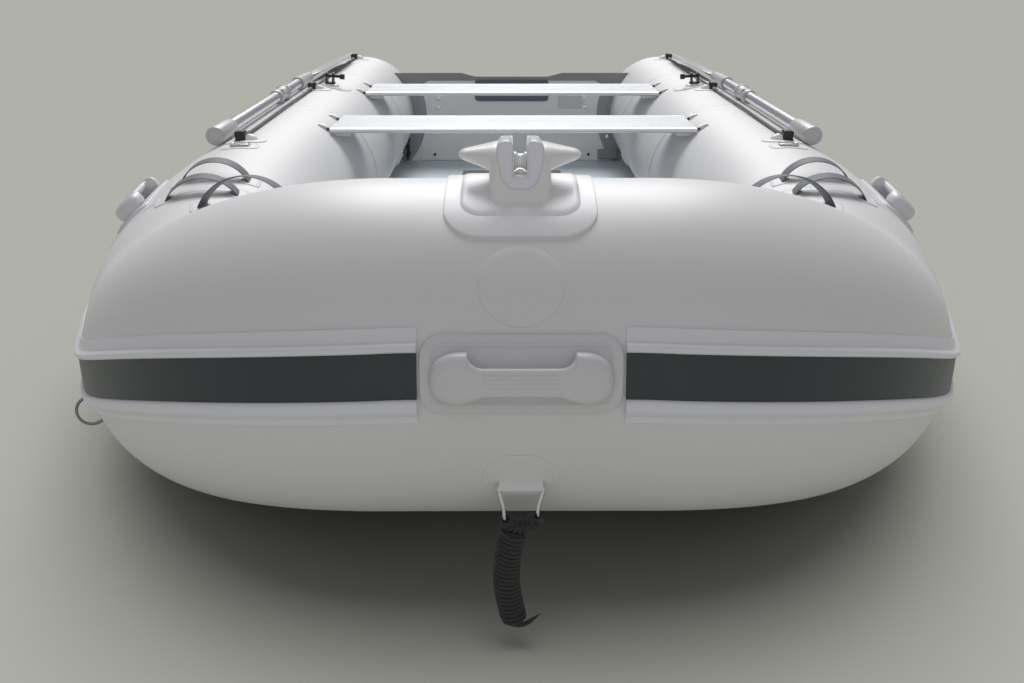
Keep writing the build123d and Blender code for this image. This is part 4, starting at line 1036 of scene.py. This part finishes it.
tabs = piece("top_ring_straps", *both_sides(tab), WEBBING_PALE, slot="tube_fabric", smooth=35)
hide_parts("top_ring_tabs")
piece("top_ring_wires", *both_sides(looped(ring_line, 0.0019)), STEEL, slot="steel", smooth=60)
piece("top_ring_patches", *both_sides(pad(top_seat, 0.030, 0.042, 0.020, THIN_EDGE, corner=8, run=4)), TUBE_SKIN,
      slot="tube_fabric", smooth=25)
dress("side_rings", RING_STEEL)
ring_seat = skin_seat(0.660, -21.5)
side_patch = pad(ring_seat, 0.0320, 0.0205, 0.012, mm((0, -0.8), (0, 0.8), (0.6, 1.8), (2, 2.4)), corner=8, run=4)
loop_rows = []
for k in range(25):
    u = -0.0185 + 0.037 * (k / 24)
    rise = 0.0024 + 0.0086 * math.exp(-((u / 0.0078) ** 4))
    across = [-0.0132 + 0.0264 * j / 8 for j in range(9)]
    over = [ring_seat(u, v, rise - (0.0007 if abs(v) > 0.0125 else 0)) for v in across]
    loop_rows.append(over + [ring_seat(u, v, 0.0012) for v in (0.0132, 0.006, -0.006, -0.0132)])
side_tabs = piece("side_ring_straps", *both_sides(side_patch, solid(loop_rows)), PAD_PLASTIC,
                  slot="tube_fabric", smooth=35)
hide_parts("side_ring_tabs")

# ---- benches
BENCH_SECTION = mm((3.2, -11.4), (1.4, -10.6), (0.4, -9), (0.2, -6), (0.6, -3.4), (1.8, -1.4), (4, -0.3), (13, 0))
for k in range(1, 12):
    y = 0.0130 + (BENCH_DEEP - 0.0260) * k / 12
    BENCH_SECTION += [(y - 0.0026, 0.0), (y - 0.0012, -0.0015), (y + 0.0012, -0.0015), (y + 0.0026, 0.0)]
BENCH_SECTION += [(BENCH_DEEP - y, z) for y, z in reversed(BENCH_SECTION[:8])]
BENCH_SECTION += mm((179, -11.2), (171.5, -10.4), (63.5, -10.4), (56, -11.2))
BENCH_STOPS = (-BENCH_HALF, -BENCH_HALF + 0.0004, *[-0.45 + 0.9 * k / 12 for k in range(13)], BENCH_HALF - 0.0004,
               BENCH_HALF)
for name, distance in BENCHES:
    rows = [[Vector((x, aft(distance) + y, BENCH_TOP + z)) for y, z in BENCH_SECTION] for x in BENCH_STOPS]
    seat = piece(f"{name}_plank", *solid(rows), ALLOY, slot="bright_aluminium", smooth=35)
    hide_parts(name)


def tube_top(x):
    """Height of the port tube's upper skin at x."""
    return AXIS_Z + math.sqrt(TUBE_R ** 2 - (AXIS_X - x) ** 2) if x > AXIS_X - TUBE_R + 0.002 else AXIS_Z


WING_SECTION = ((-1, 0), (-1, 0.85), (-0.94, 0.96), (-0.8, 1), (0.8, 1), (0.94, 0.96), (1, 0.85), (1, 0))
WING_BOLT = mm((0, 3.6), (1.8, 3.6), (2.6, 3.2), (3.6, 2.2))
bracket_parts, bolt_parts = [], []
for _, distance in BENCHES:
    for y in (0.016, 0.185):
        rows = []
        for k in range(15):
            x = BENCH_HALF - 0.050 + 0.084 * k / 14
            inboard, past = x < BENCH_HALF - 0.001, max(0, (k - 9) / 5)
            low = max(tube_top(x) + 0.0004, BENCH_TOP - (0.022 if inboard else 0.046))
            roof = BENCH_TOP - 0.0118 if inboard else BENCH_TOP - 0.016 - 0.10 * (x - BENCH_HALF)
            roof = max(roof, tube_top(x) + 0.0035 + 0.0065 * (1 - past ** 2))
            half = 0.017 - 0.004 * past ** 2
            rows.append([Vector((x, aft(distance) + y + 0.017 + half * a, low + (roof - low) * b))
                         for a, b in WING_SECTION])
        bracket_parts.append(solid(rows))
        x = BENCH_HALF + 0.0080
        bolt_parts.append(lathed(Vector((x, aft(distance) + y + 0.0008, tube_top(x) + 0.0052)), -BACK, WING_BOLT, 16))
brackets = piece("bench_bracket_feet", *both_sides(*bracket_parts), PLASTIC, slot="white_plastic", smooth=35)
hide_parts("bench_brackets")
piece("bench_bracket_bolts", *both_sides(*bolt_parts), BLACK, slot="black_plastic")

# ---- transom and what is on it
FACE_UP = Vector((0, math.sin(RAKE), math.cos(RAKE)))
FACE_OUT = Vector((0, -math.cos(RAKE), math.sin(RAKE)))


def on_board(x, z, height):
    """Point over the transom's forward face at a height over the floor."""
    foot = Vector((0, aft(TRANSOM_FOOT), DECK_TOP)) + Vector((x, 0, 0))
    return foot + FACE_UP * ((z - DECK_TOP) / math.cos(RAKE)) + FACE_OUT * height


def board_pad(x0, z0, half_x, half_z, radius, profile, **more):
    return pad(lambda u, v, h: on_board(x0 + u, z0 + v * math.cos(RAKE), h), half_x, half_z, radius, profile, **more)


dress("transom", BOARD)
dress("transom_cap", TRIM)
dress("transom_base_strip", PLASTIC)
band_rows = []
for t in [-46 + 96 * k / 32 for k in range(33)]:
    a = math.radians(t)
    band_rows.append([])
    for d, h in mm((0.6, 0.2), (0.6, 1.6), (2, 2), (26, 2), (51, 2), (52.8, 1.4), (53.2, 0.2)):
        x, z = AXIS_X - (TUBE_R + d) * math.cos(a), AXIS_Z + (TUBE_R + d) * math.sin(a)
        band_rows[-1].append(on_board(x, min(z, TRANSOM_TOP - 0.001), h))
piece("transom_side_bands", *both_sides(solid(band_rows)), EDGE_TRIM, slot="grey_trim", smooth=30)
gusset_rows = []
for k in range(13):
    t = k / 12
    z = TRANSOM_TOP + 0.0025 - 0.070 * t
    inner = AXIS_X - math.sqrt(max(TUBE_R ** 2 - (z - AXIS_Z) ** 2, 0.0)) - 0.001
    reach = 0.118 * (1 - ease(t * 1.02)) ** 0.8 + 0.026
    places = ((inner, 0.0004), (inner, 0.0048), (inner - reach * 0.5, 0.0050), (inner - reach + 0.002, 0.0046),
              (inner - reach, 0.0004))
    gusset_rows.append([on_board(x, z, height) for x, height in places])
piece("transom_corner_gussets", *both_sides(solid(gusset_rows)), TRIM, slot="grey_trim", smooth=30)
pad_z = TRANSOM_TOP - TRANSOM_DIP - 0.0145 - 0.036 * math.cos(RAKE)
PAD_RIM = mm((0, 0.2), (0, 4), (1, 6.2), (3, 7), (8.5, 7), (10, 5.8), (12.5, 5.2), (18, 5.2))
inner_pad = piece("clamp_pad_inner_plate", *board_pad(0, pad_z, 0.150, 0.0425, 0.016, PAD_RIM, corner=10, run=10),
                  CLAMP, slot="grey_trim", smooth=30)
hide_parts("clamp_pad_inner")
outer_part = pad(lambda u, v, h: on_board(u, pad_z + v * math.cos(RAKE), -0.032 - h), 0.150, 0.036, 0.016, PAD_RIM,
                 corner=10, run=10)
outer_pad = piece("clamp_pad_outer_plate", *outer_part, CLAMP, slot="grey_trim", smooth=30)
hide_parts("clamp_pad_outer")
BOLT_HEAD = mm((0, 12.5), (1.2, 12.5), (1.8, 11.8), (1.8, 9), (3.6, 8.2), (4.8, 6), (5, 0.6))
bolts = []
for x in (-0.297, 0.297):
    for down in (0.095, 0.131):
        spot = on_board(x, TRANSOM_TOP - down, 0.0)
        bolts.append(lathed(spot, FACE_OUT, BOLT_HEAD, 24))
bolt_heads = piece("transom_bolt_heads", *merged(*bolts), STEEL, slot="steel", smooth=35)
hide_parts("transom_bolts")
LABEL_EDGE = mm((0, 0.1), (0, 0.4), (0.4, 0.7), (1, 0.8))
piece("blank_plate", *board_pad(0.240, TRANSOM_TOP - 0.100, 0.052, 0.036, 0.004, LABEL_EDGE, corner=4, run=3), LABEL,
      slot="white_plastic", smooth=25)
strip_holes = []
for x, z in mm((-315, 62), (-205, 73), (205, 73), (315, 62)):
    spot = on_board(x, z, 0.0040)
    strip_holes.append(lathed(spot, FACE_OUT, mm((0, 6), (0.8, 6), (1.2, 5), (0.4, 4), (0.3, 0.5)), 16))
piece("base_strip_screws", *merged(*strip_holes), BLACK, slot="black_plastic")
low_rivet = on_board(0.392, 0.132, 0.0020)
piece("transom_rivet", *lathed(low_rivet, FACE_OUT, mm((0, 10.5), (1.6, 10), (4, 7.2), (5.2, 1)), 20), CHROME,
      slot="steel")
drain_box = board_pad(0.392, 0.064, 0.040, 0.020, 0.004, mm((0, 0.2), (0, 11), (1.2, 12.4), (3, 13)), corner=4, run=4)
piece("drain_box", *drain_box, TRIM, slot="grey_trim", smooth=30)

# ---- deck
for name, material in (("floor_boards", DECK_ALLOY), ("floor_joiners", ALLOY), ("floor_stringers", ALLOY),
                       ("hull_bottom", BOTTOM), ("keel_strip", STRAKE_DARK)):
    dress(name, material)
# Dark patch on the deck just forward of the transom's foot: a painted reflection of the transom, laid on the deck as a
# thin sheet.
painted_reflection_patch = pad(flat_seat(Vector((0, aft(2.440), DECK_TOP)), PORT, BACK), 0.190, 0.160, 0.006,
                  mm((0, 0.1), (0, 1.2), (0.8, 1.8)), corner=4, run=6)
piece("painted_reflection_patches", *painted_reflection_patch, PAINTED_REFLECTION, slot="grey_trim", smooth=25)

# ---- valves and the strap bundle
VALVE_ANGLE = math.radians(27)
valve_out = Vector((-math.cos(VALVE_ANGLE), 0, -math.sin(VALVE_ANGLE)))
valve_spot = Vector((AXIS_X - TUBE_R * math.cos(VALVE_ANGLE), aft(STRAIGHT_END - 0.570),
                     AXIS_Z - TUBE_R * math.sin(VALVE_ANGLE)))
valve = lathed(valve_spot - valve_out * 0.0035, valve_out,
               mm((0, 32.5), (5, 32.5), (6.4, 31), (6.8, 23), (8.8, 22.2), (11, 21.5), (11.8, 19), (11.2, 5),
                  (11.2, 0.5)), 40)
valves = piece("valve_caps", *both_sides(valve), PLASTIC, slot="white_plastic", smooth=35)
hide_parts("valves")

strap_low, strap_high = (Vector(corner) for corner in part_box("strap_bundle"))
strap_mid, strap_half = (strap_low + strap_high) / 2, (strap_high - strap_low) / 2
strap_rows = []
for k in range(61):
    t = k / 60
    z = strap_mid.z + strap_half.z * (0.96 - 1.90 * t)
    thick = 0.72 + 0.20 * math.sin(t * 19) + (0.10 if 0.42 < t < 0.56 else 0.0)
    pinch = 0.62 if 0.46 < t < 0.52 else 1.0
    end = math.sqrt(max(1 - (2 * t - 1) ** 10, 0.02))
    outline = oval(strap_half.x * 0.88, strap_half.y * 0.8, 20, 3.0)
    strap_rows.append([Vector((strap_mid.x + a * thick * pinch * end + 0.002 * math.sin(t * 12),
                               strap_mid.y + b * pinch * end, z)) for a, b in outline])
bundle = piece("strap_bundle_folds", *solid(strap_rows), STRAP, slot="black_plastic", smooth=50)
woven(bundle, 20, [strap_half.z * 1.9 * k / 60 for k in range(61)])
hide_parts("strap_bundle")


# ---- seams of the tubes
def strip_section(rim):
    """Flat strip's section, in half widths and thicknesses; its top is flat from -rim to rim."""
    return ((-1, -0.6), (-1, 0.6), (-rim, 1), (0, 1), (rim, 1), (1, 0.6), (1, -0.6))


def round_band(s, angle_from, angle_to, wide, high=0.0009):
    """Thin strip glued round the tube at s."""
    return solid([[skin_point(s + wide * a, t, high * b) for a, b in strip_section(0.94)]
                  for t in spread(angle_from, angle_to, 3.0)])


def long_band(s0, s1, angle, wide, high=0.0009):
    """Thin strip glued along the tube, from s0 to s1."""
    rows = []
    for s in spread(s0, s1, 0.02):
        half = math.degrees(wide / tube_radius(s))
        rows.append([skin_point(s, angle + half * a, high * b) for a, b in strip_section(0.9)])
    return solid(rows)


seams = [round_band(0.925, 15, 178, 0.018), round_band(station(1.66), 15, 215, 0.018),
         round_band(station(2.46), 15, 215, 0.018), long_band(CORNER_END - 0.05, station(2.78), 196, 0.016),
         long_band(0.62, CORNER_END - 0.06, 196, 0.016)]
piece("tube_seam_strips", *both_sides(*seams), TUBE_SKIN, slot="tube_fabric", smooth=25)
